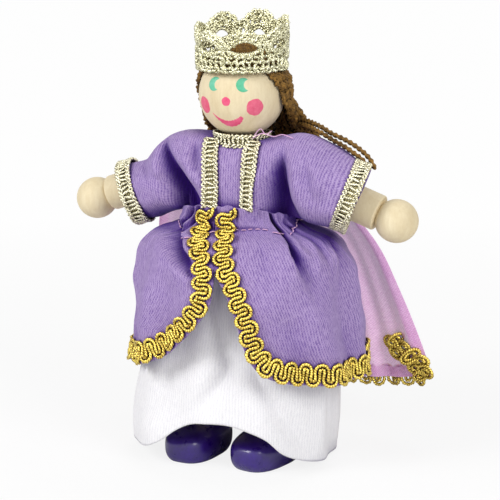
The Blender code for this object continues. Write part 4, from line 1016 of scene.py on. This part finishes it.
# Fold paths on the overskirt, rows of (angle in degrees, height, width in mm, depth)
SKIRT_FOLDS = [
    [(41, 62.4, 0.8, 1.2), (43.5, 60.2, 0.9, 1.8), (45.6, 58.0, 0.9, 2.6), (45.0, 56.2, 0.95, 4.4),
     (43.0, 54.6, 1.05, 6.2), (43.0, 53.0, 1.15, 6.6), (45.0, 51.2, 1.3, 5.2), (48, 48.9, 1.9, 2.8),
     (54, 45.0, 3.2, 1.2), (60, 38.0, 4.0, 0.0)],
    [(-74, 55.2, 1.0, 0.0), (-60, 55.0, 1.1, 2.0), (-46, 54.5, 1.25, 4.6), (-38, 53.8, 1.3, 6.0),
     (-30.3, 52.4, 1.4, 6.4), (-20.4, 50.2, 1.4, 5.6), (-13.9, 48.7, 1.5, 3.6), (-9.3, 47.3, 1.6, 1.4),
     (-5, 45.6, 1.8, 0.0)],
    [(-39, 60.4, 0.8, 1.8), (-44, 57.8, 0.9, 2.8), (-47, 55.6, 0.9, 2.4), (-49, 54.6, 0.9, 0.0)],
    [(-30, 61.0, 0.6, 0.8), (-33, 58.0, 0.7, 1.7), (-34, 55.6, 0.8, 1.0), (-34, 53.8, 0.9, 0.0)],
    [(60, 58.0, 0.7, 0.8), (66, 54.6, 0.9, 1.6), (68, 51.0, 1.3, 1.2), (70, 46.0, 2.2, 0.4),
     (72, 41.0, 3.0, 0.0)],
    [(88, 59.0, 0.8, 0.8), (86, 55.0, 1.0, 1.6), (83, 51.0, 1.5, 1.1), (80, 45.0, 2.4, 0.5),
     (79, 38.0, 3.2, 0.0)],
    [(24, 56.0, 0.8, 0.0), (27, 53.0, 1.0, 0.7), (31, 48.0, 1.8, 0.6), (34, 42.0, 2.6, 0.0)],
    [(118, 58.0, 1.0, 0.8), (114, 52.0, 1.4, 1.6), (108, 45.0, 2.2, 0.9), (104, 36.0, 3.0, 0.0)],
    [(150, 58.0, 1.0, 0.8), (148, 52.0, 1.4, 1.4), (146, 44.0, 2.4, 0.8), (145, 36.0, 3.0, 0.0)],
    [(-112, 58.0, 1.0, 0.8), (-110, 52.0, 1.4, 1.5), (-104, 45.0, 2.2, 0.8), (-100, 36.0, 3.0, 0.0)],
    [(-150, 58.0, 1.0, 0.8), (-152, 52.0, 1.4, 1.4), (-148, 44.0, 2.4, 0.8), (-146, 36.0, 3.0, 0.0)],
    [(90, 57.5, 4.5, 0.9), (90, 54.0, 5.0, 1.5), (90, 50.5, 4.5, 0.8), (90, 47.0, 4.0, 0.0)],
    [(-93, 57.5, 4.5, 1.0), (-94, 53.5, 5.0, 1.9), (-95, 50.0, 4.5, 1.0), (-95, 46.5, 4.0, 0.0)],
    [(-84, 46.0, 1.6, 0.0), (-72, 39.0, 2.6, 1.0), (-63, 32.0, 3.0, 1.2), (-58, 25.0, 3.2, 0.7)],
    [(42, 40.0, 2.0, 0.0), (46, 34.0, 2.8, 0.9), (49, 28.0, 3.2, 1.0), (51, 22.0, 3.2, 0.5)],
    [(78, 38.0, 2.0, 0.0), (80, 32.0, 2.8, 0.9), (82, 24.0, 3.2, 0.8)],
]
SKIRT_FLAPS, SKIRT_FLAP = 2, 0.34   # the first folds lap over, and how far their flaps stand out
SKIRT_FULL_SHADE_DEPTH = 5.0                    # depth of fold, in millimetres, that gets the full painted shade
SKIRT_FOLD_R = 22.0                 # radius that turns a fold's angle into a length on the cloth
WAIST_LINE = [                      # angle in degrees and height of the gathering stitches
    (-180, 57.2), (-120, 57.4), (-78, 57.2), (-58, 56.0), (-46, 54.9), (-34, 54.0), (-22, 54.6), (-8, 56.0),
    (14, 56.7), (36, 56.9), (44, 56.3), (50, 56.1), (64, 56.9), (78, 57.8), (120, 57.4), (180, 57.2),
]
SKIRT_SWELLS = [(17.0, 28, 0.3, 0.3), (11.0, 150, 1.7, 0.2), (7.0, 75, 0.6, 0.1)]
SKIRT_COLUMNS, SKIRT_ROWS, RUFFLE_ROWS = 290, 100, 22


def waist_line(angle):
    return through(WAIST_LINE, np.degrees(angle))[..., 0]


def bell(profile, angle, height):
    """A skirt's reach to the side and to the front or back, from its reach on each of the four sides."""
    left, right, front, back = np.moveaxis(through(profile, height), -1, 0)
    return mix(right, left, 0.5 + 0.5 * np.sin(angle)), mix(back, front, 0.5 + 0.5 * np.cos(angle))


def wrapped(angle):
    return np.remainder(angle + math.pi, 2 * math.pi) - math.pi


def skirt_press(paths, angle, height, sharpness, lip=0.0, flaps=0):
    """How deep folds press a skirt in."""
    press = np.zeros_like(height)
    for order, path in enumerate(paths):
        path = [(math.radians(row[0]) * SKIRT_FOLD_R, *row[1:]) for row in path]
        flap = SKIRT_FLAP if order < flaps else 0.0
        press = press + crease(angle * SKIRT_FOLD_R, height, path, sharpness, lip, flap)
    return press


def overskirt_press(angle, height):
    return skirt_press(SKIRT_FOLDS, angle, height, 1.4, 0.22, SKIRT_FLAPS)


def gathers(angle, height):
    """Uneven small pleats below the stitches, fainter in the ruffle above them."""
    below, above = np.maximum(GATHER_Z - height, 0.0), np.maximum(height - GATHER_Z, 0.0)
    strength = np.exp(-below / GATHER_FADE) * ease(below / 1.2) + 0.3 * ease(above / 2.5)
    waves = np.cos(GATHERS * angle + 2.6 * np.sin(9 * angle) + 0.09 * height)
    waves = waves * (0.6 + 0.4 * np.sin(5 * angle + 1))
    waves = waves + 0.8 * np.cos(37 * angle + 1.3 + 1.5 * np.sin(4 * angle))
    return GATHER_DEPTH * strength * waves


def waist_pinch(angle, height):
    """How deep the stitches pull the cloth in, less the waves of the ruffle above them."""
    pinch = 0.4 * np.exp(-((height - waist_line(wrapped(angle))) / 0.5) ** 2)
    above = np.maximum(height - GATHER_Z, 0.0)
    return pinch - 0.3 * ease(above / 4) * np.cos(13 * angle + 2 * np.sin(3 * angle))


def overskirt(angle, height):
    """The overskirt's outside; above the stitches it is a short ruffle."""
    angle, height = np.broadcast_arrays(angle, height)
    spread = flare((GATHER_Z - height) / OVERSKIRT_LENGTH, 3.4)
    fold = 1 + OVERSKIRT_FOLD * spread * folds(angle, OVERSKIRT_FOLDS, 1.1)
    side, deep = bell(OVERSKIRT_PROFILE, angle, height)
    turned = wrapped(angle)
    swell = ripples(turned * SKIRT_FOLD_R, height, SKIRT_SWELLS) * ease((GATHER_Z - height) / 6)
    extra = gathers(angle, height) - waist_pinch(angle, height) - overskirt_press(turned, height) + swell
    return oval(side * fold + extra, deep * fold + extra, angle, height)


def overskirt_out(angle, height):
    """Outward direction of the overskirt's cloth, read over a small patch."""
    step_angle, step_height = 0.03, 0.6
    along = overskirt(angle + step_angle, height) - overskirt(angle - step_angle, height)
    up = overskirt(angle, height + step_height) - overskirt(angle, height - step_height)
    return unit(np.cross(along, up))


def header_top(angle):
    """Height of the ruffle's upper edge: it dips under the arms and is a little uneven."""
    uneven = 0.22 * np.sin(13 * angle + 0.8) + 0.14 * np.sin(29 * angle)
    return GATHER_Z + mix(HEADER_SIDE, HEADER, np.abs(np.cos(angle))) + uneven


def braid_line(side):
    """Middle line of a panel's braid as fine rows of (angle, height)."""
    rows = [(math.radians(angle) * SKIRT_FOLD_R, height) for angle, height in BRAID_LINES[side]]
    line = smooth_path(rows, 300)
    return np.column_stack([line[:, 0] / SKIRT_FOLD_R, line[:, 1]])


def panel_border(side):
    """The cloth's edge beside the braid, rows of (angle, height), and the row of its round corner."""
    line = braid_line(side)
    reach = through(OVERSKIRT_PROFILE, line[:, 1])[:, 2]
    run = unit(np.column_stack([np.gradient(line[:, 0]) * reach, np.gradient(line[:, 1])]))
    corner = int(np.argmax(run[:, 0] > -run[:, 1]))
    margin = mix(FRONT_MARGIN, HEM_MARGIN, ease(0.5 + (np.arange(len(line)) - corner) / 40))
    border = np.column_stack([line[:, 0] + run[:, 1] * margin / reach, line[:, 1] - run[:, 0] * margin])
    return border, corner


BORDERS = {side: panel_border(side) for side, _ in SIDES}


def panel_edge(side, height):
    """Angle of a panel's front edge at one height."""
    border, corner = BORDERS[side]
    return np.interp(height, border[corner::-1, 1], border[corner::-1, 0])


def panel_hem(side, angle):
    """Height of a panel's hem at one angle; it rises to a round corner at the front edge."""
    border, corner = BORDERS[side]
    return np.interp(angle, border[corner:, 0], border[corner:, 1])


def overskirt_half(side):
    """Grid of one half of the overskirt, from its front edge to the middle of the back, and the painted shade
    of its folds.
    """
    border, corner = BORDERS[side]
    from_edge = np.linspace(0, 1, SKIRT_COLUMNS) ** 1.15
    hem = panel_hem(side, mix(border[corner, 0], math.pi, from_edge))
    height = mix(hem, GATHER_Z, np.linspace(0, 1, SKIRT_ROWS)[:, None])
    top = header_top(side * mix(panel_edge(side, GATHER_Z), math.pi, from_edge))
    ruffle = mix(GATHER_Z, top, np.linspace(0, 1, RUFFLE_ROWS)[1:, None])
    height = np.concatenate([height, ruffle])
    angle = side * mix(panel_edge(side, height), math.pi, from_edge)
    return overskirt(angle, height), np.clip(overskirt_press(angle, height) / SKIRT_FULL_SHADE_DEPTH, 0, 1)


def build_overskirt():
    halves = zip(*[overskirt_half(side) for side, _ in SIDES])
    # fold is the share of painted fold shade in the cloth's colour
    points, fold = [np.concatenate([left, right[:, :-1][:, ::-1]], axis=1) for left, right in halves]
    piece = thicken(grid_piece("gathered_overskirt", points, LILAC, fold=fold))
    settle(piece, "torso", "robe", "overskirt")


# Creases in the underskirt, rows as for the overskirt; the first stands out over a shoe
UNDERSKIRT_CREASES = [
    [(-35, 15.0, 4.0, 0.0), (-34, 9.0, 6.0, -1.2), (-34, 3.0, 6.0, -1.1)],
    [(-2, 46.0, 1.6, 0.6), (-1, 41.0, 1.8, 1.2), (6, 30.3, 2.0, 1.8), (10, 25.5, 2.2, 2.0),
     (-1, 18.6, 2.4, 1.8), (-10, 14.1, 2.6, 0.8), (-16, 10.5, 2.6, 0.0)],
    [(26, 29.0, 1.6, 0.0), (31, 22.8, 2.2, 1.3), (42, 16.8, 2.6, 1.7), (54, 11.1, 2.8, 1.4),
     (62, 6.0, 3.0, 0.6)],
    [(-26, 27.0, 2.0, 0.0), (-31, 21.0, 2.4, 0.8), (-36, 15.0, 2.6, 0.5), (-40, 10.0, 2.8, 0.0)],
    [(82, 24.0, 2.0, 0.0), (86, 16.0, 2.6, 0.9), (88, 6.0, 3.0, 0.9)],
    [(-108, 24.0, 2.0, 0.0), (-106, 16.0, 2.6, 0.9), (-104, 6.0, 3.0, 0.9)],
]


def underskirt(angle, height):
    angle, height = np.broadcast_arrays(angle, height)
    spread = ease((UNDERSKIRT_TOP - height) / 30)
    fold = 1 + 0.03 * spread * folds(angle, UNDERSKIRT_FOLDS, 0.4)
    side, deep = bell(UNDERSKIRT_PROFILE, angle, height)
    crinkle = np.cos(104 * angle + 5 * np.sin(7 * angle) + 0.5 * np.sin(height * 0.35))
    crinkle = crinkle * (0.6 + 0.4 * np.sin(11 * angle))
    extra = 0.022 * spread * crinkle - skirt_press(UNDERSKIRT_CREASES, wrapped(angle), height, 1.8)
    return oval(side * fold + extra, deep * fold + extra, angle, height)


def build_underskirt():
    columns, rows = 560, 90
    angle = np.linspace(-math.pi, math.pi, columns, endpoint=False)
    hem = through(UNDERSKIRT_HEM, np.degrees(angle))[:, 0]
    height = mix(hem, UNDERSKIRT_TOP, np.linspace(0, 1, rows)[:, None])
    piece = thicken(grid_piece("white_underskirt", underskirt(angle, height), WHITE, closed=True))
    settle(piece, "torso", "underskirt", "underskirt")


def panel_ribbon(side):
    """Middle line of the braid along a panel's front edge, round its corner and along the hem to the back."""
    line = braid_line(side)
    points = overskirt(side * line[:, 0], line[:, 1])
    return ribbon_from(points, overskirt_out(side * line[:, 0], line[:, 1]))


def build_gold_braid():
    for side, word in SIDES:
        piece = loop_braid("gold_loops_" + word, panel_ribbon(side), 0.5, 0.0)
        settle(piece, "torso", "gold_braid", "gold_braid_" + word)


STITCH_STEP, STITCH_LENGTH = 6.2, 4.2   # degrees


def build_stitches():
    """Running stitches in pale thread round the gathered waist."""
    paths = []
    share = np.linspace(0, 1, 9)
    rise = 0.3 * np.sin(math.pi * share) ** 0.6 + 0.02
    for start in np.arange(-172, 172, STITCH_STEP):
        end = start + STITCH_LENGTH + RANDOM.uniform(-0.6, 0.8)
        angle = np.radians(np.linspace(start, end, 9))
        height = waist_line(angle) + RANDOM.uniform(-0.12, 0.12)
        paths.append(overskirt(angle, height) + overskirt_out(angle, height) * rise[:, None])
    settle(thread_piece("waist_stitches", paths, 0.14, STITCH), "torso", "robe")


# Cape

CAPE_TOP = 72.3
CAPE_HEM = 14.0
CAPE_WIDTHS = {                     # share of the way down, distance of the edge from the middle
    1: [(0.0, 9.0), (0.12, 15.0), (0.345, 23.8), (0.6, 30.2), (0.95, 38.4), (1.0, 39.4)],
    -1: [(0.0, 9.0), (0.1, 18.0), (0.22, 26.6), (0.34, 30.6), (0.6, 34.4), (1.0, 38.4)],
}
CAPE_CORNER = 2.8                   # how much higher the hem is at its corners
CAPE_BACK = [                       # height, how far back: straight from the shoulders, then over the bell
    (CAPE_HEM, 30.2), (23.0, 30.4), (36.0, 29.4), (46.0, 26.4), (56.0, 20.0), (61.0, 16.4), (CAPE_TOP, 12.2),
]
CAPE_COLUMNS, CAPE_ROWS = 220, 130
HEM_GAP = 0.25                      # from the cape to the turned-in cloth of its hems


def cape_depth(height):
    """How far back the cape hangs at one height."""
    return through(CAPE_BACK, height)[..., 0]


def cape_point(across, share):
    """A place on the cape: across from -1 at the doll's right to 1, share from hem 0 to neck 1."""
    height = mix(CAPE_HEM + CAPE_CORNER * np.abs(across) ** 4, CAPE_TOP, share)
    fall = 1 - share
    left, right = [through(CAPE_WIDTHS[side], fall)[..., 0] for side in (1, -1)]
    width = np.where(across < 0, right, left)
    fold = np.cos(5 * math.pi * across + 0.6) * 0.5 + 0.4 * np.cos(13 * math.pi * across + 2.0 + fall)
    depth = cape_depth(height) - 5.0 * fall * across ** 2 + fold * flare(fall, 3.0)
    depth = depth + 0.5 * np.sin(9 * fall + 5 * across) * fall
    return np.stack([width * across, depth, height], axis=-1)


def cape_piece(name, across, share, gap=0.0):
    """A stretch of gauze on a grid over the cape, or just in front of it."""
    place = cape_point(*np.meshgrid(across, share))
    return grid_piece(name, place - np.array([0.0, gap, 0.0]), GAUZE)


def build_cape():
    across, share = np.linspace(-1, 1, CAPE_COLUMNS), np.linspace(0, 1, CAPE_ROWS)
    piece = cape_piece("gauze_cape", across, share)
    hems = [cape_piece("cape_side_hem_" + word, side * np.linspace(1.0, 0.93, 8), share, HEM_GAP)
            for side, word in SIDES]
    hems.append(cape_piece("cape_low_hem", across, np.linspace(0, 0.045, 6), HEM_GAP))
    settle(piece, "torso", "gauze", "cape")
    for hem in hems:
        settle(hem, "torso", "gauze")
    build_cape_braid()


def build_cape_braid():
    """Looped braid along the cape's hem, turned up in curls at the front of the doll's left corner."""
    across = np.linspace(-1, 1, 260)
    line, beside = [cape_point(across, np.full(260, share)) for share in (0.012, 0.06)]
    normal = unit(np.cross(np.gradient(line, axis=0), beside - line))
    normal = normal * np.sign(normal[:, 1:2])
    settle(loop_braid("cape_loops", ribbon_from(line, normal), 1.2, 0.4), "torso", "gold_braid", "cape_braid")
    settle(thread_piece("cape_corner_curls", corner_curls(), **GOLD_CORD), "torso", "gold_braid")


CURLS = [                           # middle across and share of the height, size in mm, turns, lift
    (0.79, 0.150, 1.5, 1.3, 0.7), (0.83, 0.165, 1.3, 1.2, 1.1), (0.81, 0.110, 1.4, 1.3, 1.4),
    (0.87, 0.130, 1.6, 1.3, 1.0), (0.86, 0.085, 1.3, 1.2, 0.7), (0.91, 0.095, 1.7, 1.4, 1.5),
    (0.92, 0.045, 1.4, 1.2, 0.9), (0.97, 0.070, 1.5, 1.3, 1.1), (0.98, 0.025, 1.5, 1.3, 1.4),
    (0.94, 0.010, 1.2, 1.1, 0.6),
]


def corner_curls():
    """Loops of braid cord bunched up on the front of the cape's corner."""
    paths = []
    for middle, share, size, turns, lift in CURLS:
        base = cape_point(np.array([middle]), np.array([share]))[0]
        lean, tilt, start = RANDOM.uniform(-0.9, 0.9), RANDOM.uniform(-0.5, 0.5), RANDOM.uniform(0, 6.3)
        for lane in GOLD_LANES:
            angle = np.linspace(0, 2 * math.pi * turns, 64)
            radius = (size + lane) * (1 - 0.12 * angle / angle[-1])
            x, z = radius * np.cos(angle + start), 0.75 * radius * np.sin(angle + start)
            out = -lift + 0.5 * lean * x + 0.5 * tilt * z - 0.2 * np.sin(2 * angle + 3 * lane)
            paths.append(base + np.column_stack([x, np.minimum(out, -0.3), z + lean * x * 0.5]))
    return paths


# Crown

CROWN_BOTTOM = 92.75
CROWN_R = 10.25
CROWN_SCALLOPS = 7
CROWN_BAND = 3.6
CROWN_DIP = 6.3
CROWN_PEAK = 2.2
CROWN_STRETCH = 0.42                # how much taller the lace is behind
LACE_THREAD = dict(radius=0.36, material=LACE, sides=8, plies=2, pitch=1.2)
LENS_WIDTH = 7.6
LENS_HEIGHT = 2.9
LENS_LIFT = 5.2
LENS_UPPER, LENS_LOWER = 0.72, 0.32  # share of the opening above and below its middle


def crown_point(angle, height, lift=0.0):
    """Places on the crown: an angle from the front, a height above its lower edge, and how far off it."""
    radius = CROWN_R + 0.03 * height + lift
    tall = height * (1 + CROWN_STRETCH * (1 - np.cos(angle)) / 2)
    return np.stack([radius * np.sin(angle), -radius * np.cos(angle), CROWN_BOTTOM + tall], axis=-1)


def crown_edge(angle):
    """Height of the scalloped upper edge."""
    return CROWN_DIP + CROWN_PEAK * np.abs(np.sin(CROWN_SCALLOPS * angle / 2)) ** 0.8


def crown_line(start, end, height, wiggle, count):
    """A thread round the crown, a little unsteady in height and depth."""
    angle = np.linspace(start, end, count)
    phase = RANDOM.uniform(0, 6.3, 4)
    shake = wiggle * (np.sin(31 * angle + phase[0]) + 0.7 * np.sin(53 * angle + phase[1])) / 1.7
    depth = wiggle * (np.sin(43 * angle + phase[2]) + 0.6 * np.sin(71 * angle + phase[3])) / 1.6
    return crown_point(angle, height(angle) + shake, depth)


def lens_size(middle):
    """Width and height of the opening in the scallop at this angle; it is smaller behind."""
    share = 1 - 0.5 * (1 - math.cos(middle)) / 2
    return LENS_WIDTH * share, LENS_HEIGHT * share


def lens_line(middle, upper, grow):
    share = np.linspace(-1, 1, 30)
    wide, high = lens_size(middle)
    angle = middle + share * (wide / 2 + grow) / CROWN_R
    rise = (high * (LENS_UPPER if upper else LENS_LOWER) + grow) * (1 - share ** 2) ** 0.8
    height = LENS_LIFT - 0.2 + (rise if upper else -rise)
    return crown_point(angle, height, 0.12 * np.sin(19 * share + grow * 9))


def crown_threads():
    """Thread paths of the lace: a slotted band, a lens-shaped opening in each scallop and a looped edge."""
    paths = []
    turn = 2 * math.pi
    for level, wiggle in ((0.3, 0.22), (1.0, 0.26), (2.4, 0.3), (3.5, 0.26)):
        paths.append(crown_line(0, turn, lambda angle, level=level: level + 0 * angle, wiggle, 330))
    for back in (0.0, 0.75):
        paths.append(crown_line(0, turn, lambda angle, back=back: crown_edge(angle) - back, 0.26, 420))
    for angle in np.arange(0, turn, 0.145):
        height = np.linspace(0.1, CROWN_BAND + 0.3, 9)
        lean = RANDOM.uniform(-0.05, 0.05)
        sway = lean * (height - 2) + 0.025 * np.sin(3 * height + 9 * angle)
        paths.append(crown_point(angle + sway, height, 0.3 * np.sin(2.4 * height + 7 * angle)))
    for index in range(CROWN_SCALLOPS):
        middle = turn * (index + 0.5) / CROWN_SCALLOPS
        for grow in (0.0, 0.6):
            paths.append(lens_line(middle, True, grow))
            paths.append(lens_line(middle, False, grow * 0.5))
        paths.extend(scallop_fill(middle))
    paths.extend(edge_loops())
    return paths


def scallop_fill(middle):
    """Crossing threads between a lens opening and the scalloped edge, and in the posts beside it."""
    paths = []
    half = math.pi / CROWN_SCALLOPS
    wide, tall = lens_size(middle)
    for share in np.linspace(-0.92, 0.92, 10):
        angle = middle + share * half
        open_share = 2 * share * half * CROWN_R / wide
        low = CROWN_BAND
        if abs(open_share) < 1:
            low = LENS_LIFT - 0.1 + tall * LENS_UPPER * (1 - open_share ** 2) ** 0.8
        high = float(crown_edge(np.array(angle)))
        for lean in (-0.16, 0.16):
            height = np.linspace(low, high, 8)
            drift = lean * (np.linspace(-0.5, 0.5, 8) + RANDOM.uniform(-0.3, 0.3))
            bow = 0.2 * np.sin(np.linspace(0, 5, 8) + 11 * share)
            paths.append(crown_point(angle + drift, height, bow))
    return paths


def edge_loops():
    """Small loops that stand along the scalloped edge."""
    paths = []
    for angle in np.arange(0, 2 * math.pi, 0.125):
        turn = np.linspace(-0.3, math.pi + 0.3, 12)
        size = RANDOM.uniform(0.5, 0.95)
        reach = angle + 0.07 * np.cos(turn)
        height = crown_edge(np.array(angle)) - 0.3 + size * np.sin(turn)
        paths.append(crown_point(reach, height, RANDOM.uniform(-0.4, 0.4) * np.sin(turn)))
    return paths


def build_crown():
    settle(thread_piece("lace_crown", crown_threads(), **LACE_THREAD), "head", "crown_lace", "crown")


# Hair

HAIR_R = HEAD_R + 0.7
HAIR_YARN = dict(radius=0.6, material=HAIR, sides=9, plies=2, pitch=2.2)
STRAY_YARN = dict(radius=0.5, material=HAIR, sides=9, plies=2, pitch=2.6)
HAIR_END = 56.0
HAIR_SWEEP = 24.0                   # degrees that the foremost yarns run back along the cheeks


def scalp_knots(angle, layer):
    """Points of a yarn from the top of the head, under the crown and down to its lower part."""
    degrees = math.degrees(angle)
    side = 1 if degrees < 180 else -1
    fore = float(ease((118 - min(degrees, 360 - degrees)) / 50))
    close = float(ease((-math.sin(angle) - 0.3) / 0.6))
    reach = HAIR_R + 0.45 * layer * (1 - 0.8 * close) - 0.2 * close
    knots = []
    for polar in (12, 30, 48, 58, 70, 84, 98):
        size = reach + (0.3 * (1 - close) if polar > 66 else 0.0)
        out = size * math.sin(math.radians(polar))
        turn = angle + side * math.radians(HAIR_SWEEP) * fore * float(ease((polar - 50) / 44))
        height = HEAD[2] + size * math.cos(math.radians(polar))
        knots.append((out * math.sin(turn), -out * math.cos(turn), height))
    return knots


def fall_knots(angle, layer, end, start):
    """Points of a yarn that leaves the head at the start and falls onto the cape."""
    across = math.sin(angle)
    spread = across * (12.5 + 1.6 * RANDOM.uniform(0, 1))
    knots = []
    for height in (80.0, 76.0, 71.0, 65.0, 60.0, 55.0):
        if height < end - 2:
            break
        lie = float(cape_depth(np.array(min(height, CAPE_TOP)))) + 1.2 + 0.8 * layer
        share = ease((86.0 - height) / 12.0)
        x = mix(start[0], spread * (1 + 0.1 * (76 - height) / 20), share)
        knots.append((x, mix(start[1], lie - 0.7 * abs(across), share), height))
    knots[-1] = (*knots[-1][:2], end)
    return knots


def hair_strand(angle, layer, end):
    """A yarn from the top of the head down onto the cape, looser and kinked on its way."""
    knots = scalp_knots(angle, layer)
    path = smooth_path(knots + fall_knots(angle, layer, end, knots[-1]), 190)
    run = run_length(path)
    phase = RANDOM.uniform(0, 6.3, 4)
    loose = ease((run - 9) / 12)
    kink = 0.2 * ease((run - 6) / 6)
    path[:, 0] += loose * 0.5 * np.sin(run / 2.6 + phase[0]) + kink * np.sin(run * 2.7 + phase[2])
    path[:, 1] += loose * 0.3 * np.sin(run / 3.1 + phase[1]) + kink * np.sin(run * 2.2 + phase[3])
    return path


def forehead_strand(angle):
    """A short yarn from the top of the head that ends under the front of the crown."""
    polar = np.radians(np.linspace(8, 54, 40))
    out = HAIR_R * np.sin(polar)
    return np.column_stack([out * np.sin(angle), -out * np.cos(angle), HEAD[2] + HAIR_R * np.cos(polar)])


def build_hair():
    paths = [forehead_strand(math.radians(angle)) for angle in np.arange(-58, 60, 6.2)]
    for layer, step in ((0, 6.3), (1, 6.9)):
        for angle in np.arange(62 + 3 * layer, 299, step):
            paths.append(hair_strand(math.radians(angle), layer, HAIR_END + RANDOM.uniform(-2.5, 4.0)))
    piece = thread_piece("yarn_hair", paths, **HAIR_YARN)
    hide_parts("hair_cap", "hair_fall")
    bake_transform(piece)
    build_stray_yarns()


STRAY_YARNS = [
    [(8.5, 8.4, 81.0), (13.6, 5.6, 80.8), (18.4, 2.6, 80.0), (21.4, 2.0, 78.6), (25.2, 2.0, 77.1),
     (28.2, 2.0, 75.4), (30.6, 2.0, 73.4), (32.2, 2.0, 70.8)],
    [(8.5, 8.8, 79.6), (13.6, 5.0, 79.8), (18.8, 1.2, 78.9), (21.8, 1.0, 77.4), (25.1, 1.0, 75.8),
     (27.4, 1.0, 74.4), (29.4, 1.0, 73.0), (31.0, 1.0, 71.0)],
]
LOOSE_THREADS = [
    [(4.6, -5.0, 77.4), (7.0, -4.6, 78.6), (9.6, -4.2, 78.0), (12.0, -4.4, 78.6), (14.4, -4.0, 77.8)],
    [(5.0, -4.6, 78.0), (6.4, -4.4, 79.6), (7.6, -4.0, 78.4), (9.0, -3.6, 79.2)],
]


def build_stray_yarns():
    """Two thin twisted yarns that trail from the hair over the doll's left sleeve to the cuff."""
    paths = [smooth_path(route, 120) for route in STRAY_YARNS]
    piece = thread_piece("stray_yarns", paths, **STRAY_YARN)
    follow_arm(piece, 1, "left", *SHOULDER_BLEND)


def build_loose_threads():
    """Short loose ends of sewing thread at the neck."""
    paths = [smooth_path(route, 60) for route in LOOSE_THREADS]
    settle(thread_piece("loose_threads", paths, 0.12, STITCH), "torso", "robe")


def finish_hidden_nodes():
    """Materials for the solids that stay: torso, pegs, cords and wires under the clothes."""
    looks = {"torso_block": TORSO_WOOD, "neck_peg": TORSO_WOOD}
    for _, word in SIDES:
        looks.update({"upper_arm_" + word: CORD, "thigh_" + word: CORD, "shin_" + word: WOOD})
        for start in ("shoulder_pin_", "hip_pin_", "forearm_wire_", "shin_wire_"):
            looks[start + word] = WIRE
    for node, material in looks.items():
        mesh = frame["nodes"][node].data
        mesh.materials.clear()
        mesh.materials.append(material)


# Stage

CAMERA_TURN, CAMERA_RISE = 23, 12
CAMERA_REACH = 430.0
CAMERA_TARGET = np.array([0.0, 0.0, 50.0])
CAMERA_LENS = 131.3
CAMERA_SHIFT = (0.016, -0.0011)


def aim(item, turn, rise, reach):
    """Puts a camera or lamp in a direction given in degrees, looking at the target."""
    item.location = spot(*(CAMERA_TARGET + direction(math.radians(turn), math.radians(rise)) * reach))
    look = Vector(to_world(CAMERA_TARGET)) - Vector(item.location)
    item.rotation_euler = look.to_track_quat('-Z', 'Y').to_euler()


def build_camera():
    data = bpy.data.cameras.new("camera")
    data.sensor_width = 36.0
    data.lens = CAMERA_LENS
    data.shift_x, data.shift_y = CAMERA_SHIFT
    data.clip_start = 0.01
    camera = new_object("camera", data)
    aim(camera, CAMERA_TURN, CAMERA_RISE, CAMERA_REACH)
    bpy.context.scene.camera = camera


LAMPS = [                           # name, turn and rise in degrees, reach, size, watts
    ("key", -36, 34, 420, 170, 1.08),
    ("fill", 58, 28, 430, 200, 0.92),
    ("back", 170, 55, 420, 240, 0.3),
]


def build_lamps():
    for name, turn, rise, reach, size, watts in LAMPS:
        data = bpy.data.lights.new(name, 'AREA')
        data.size = size * MM
        data.energy = watts
        aim(new_object(name, data), turn, rise, reach)


WORLD_LIGHT = 0.3


def seen_directly(tree):
    """1 for rays from the camera and for mirror-like and see-through ones, else 0."""
    path = add(tree, "LightPath")
    either = maths(tree, 'MAXIMUM', path.outputs["Is Camera Ray"], path.outputs["Is Glossy Ray"])
    return maths(tree, 'MAXIMUM', either, path.outputs["Is Transmission Ray"])


def build_world():
    """White to the eye and in reflections, dimmer as a light."""
    world = bpy.data.worlds.new("studio")
    bpy.context.scene.world = world
    world.use_nodes = True
    tree = world.node_tree
    strength = maths(tree, 'ADD', maths(tree, 'MULTIPLY', seen_directly(tree), 1 - WORLD_LIGHT), WORLD_LIGHT)
    dress(tree, tree.nodes["Background"], {"Color": (1.0, 1.0, 1.0, 1.0), "Strength": strength})


def floor_material():
    """A pale matt floor that the camera sees as nearly white, whiter further out."""
    material, tree, shader = start_material("floor")
    dress(tree, shader, {"Base Color": (0.9, 0.9, 0.9, 1.0), "Roughness": 0.9, "Specular IOR Level": 0.0})
    glow = add(tree, "Emission", {"Color": (1.0, 1.0, 1.0, 1.0), "Strength": 1.0})
    place = add(tree, "TexCoord").outputs["Object"]
    reach = add(tree, "VectorMath", {0: place}, operation='LENGTH').outputs["Value"]
    white = grey(tree, reach, (0.05, 0.84), (0.3, 0.985))
    factor = maths(tree, 'MULTIPLY', add(tree, "LightPath").outputs["Is Camera Ray"], white)
    mixed = add(tree, "MixShader", {0: factor, 1: shader.outputs[0], 2: glow.outputs[0]})
    feed(tree, tree.nodes["Material Output"].inputs["Surface"], mixed.outputs[0])
    return material


def build_floor():
    size = 3.0
    corners = [(-size, -size, 0), (size, -size, 0), (size, size, 0), (-size, size, 0)]
    mesh = bpy.data.meshes.new("floor")
    mesh.from_pydata(corners, [], [(0, 1, 2, 3)])
    mesh.materials.append(floor_material())
    new_object("floor", mesh)


def build_scene():
    build_camera()
    build_head()
    build_face()
    for side, word in SIDES:
        build_arm(side, word)
        build_shoe(side, word)
    build_robe_top()
    build_silver_braid()
    build_underskirt()
    build_overskirt()
    build_gold_braid()
    build_stitches()
    build_cape()
    build_crown()
    build_hair()
    build_loose_threads()
    finish_hidden_nodes()
    build_floor()
    build_lamps()
    build_world()
    bpy.context.scene.view_settings.view_transform = 'Standard'


build_scene()
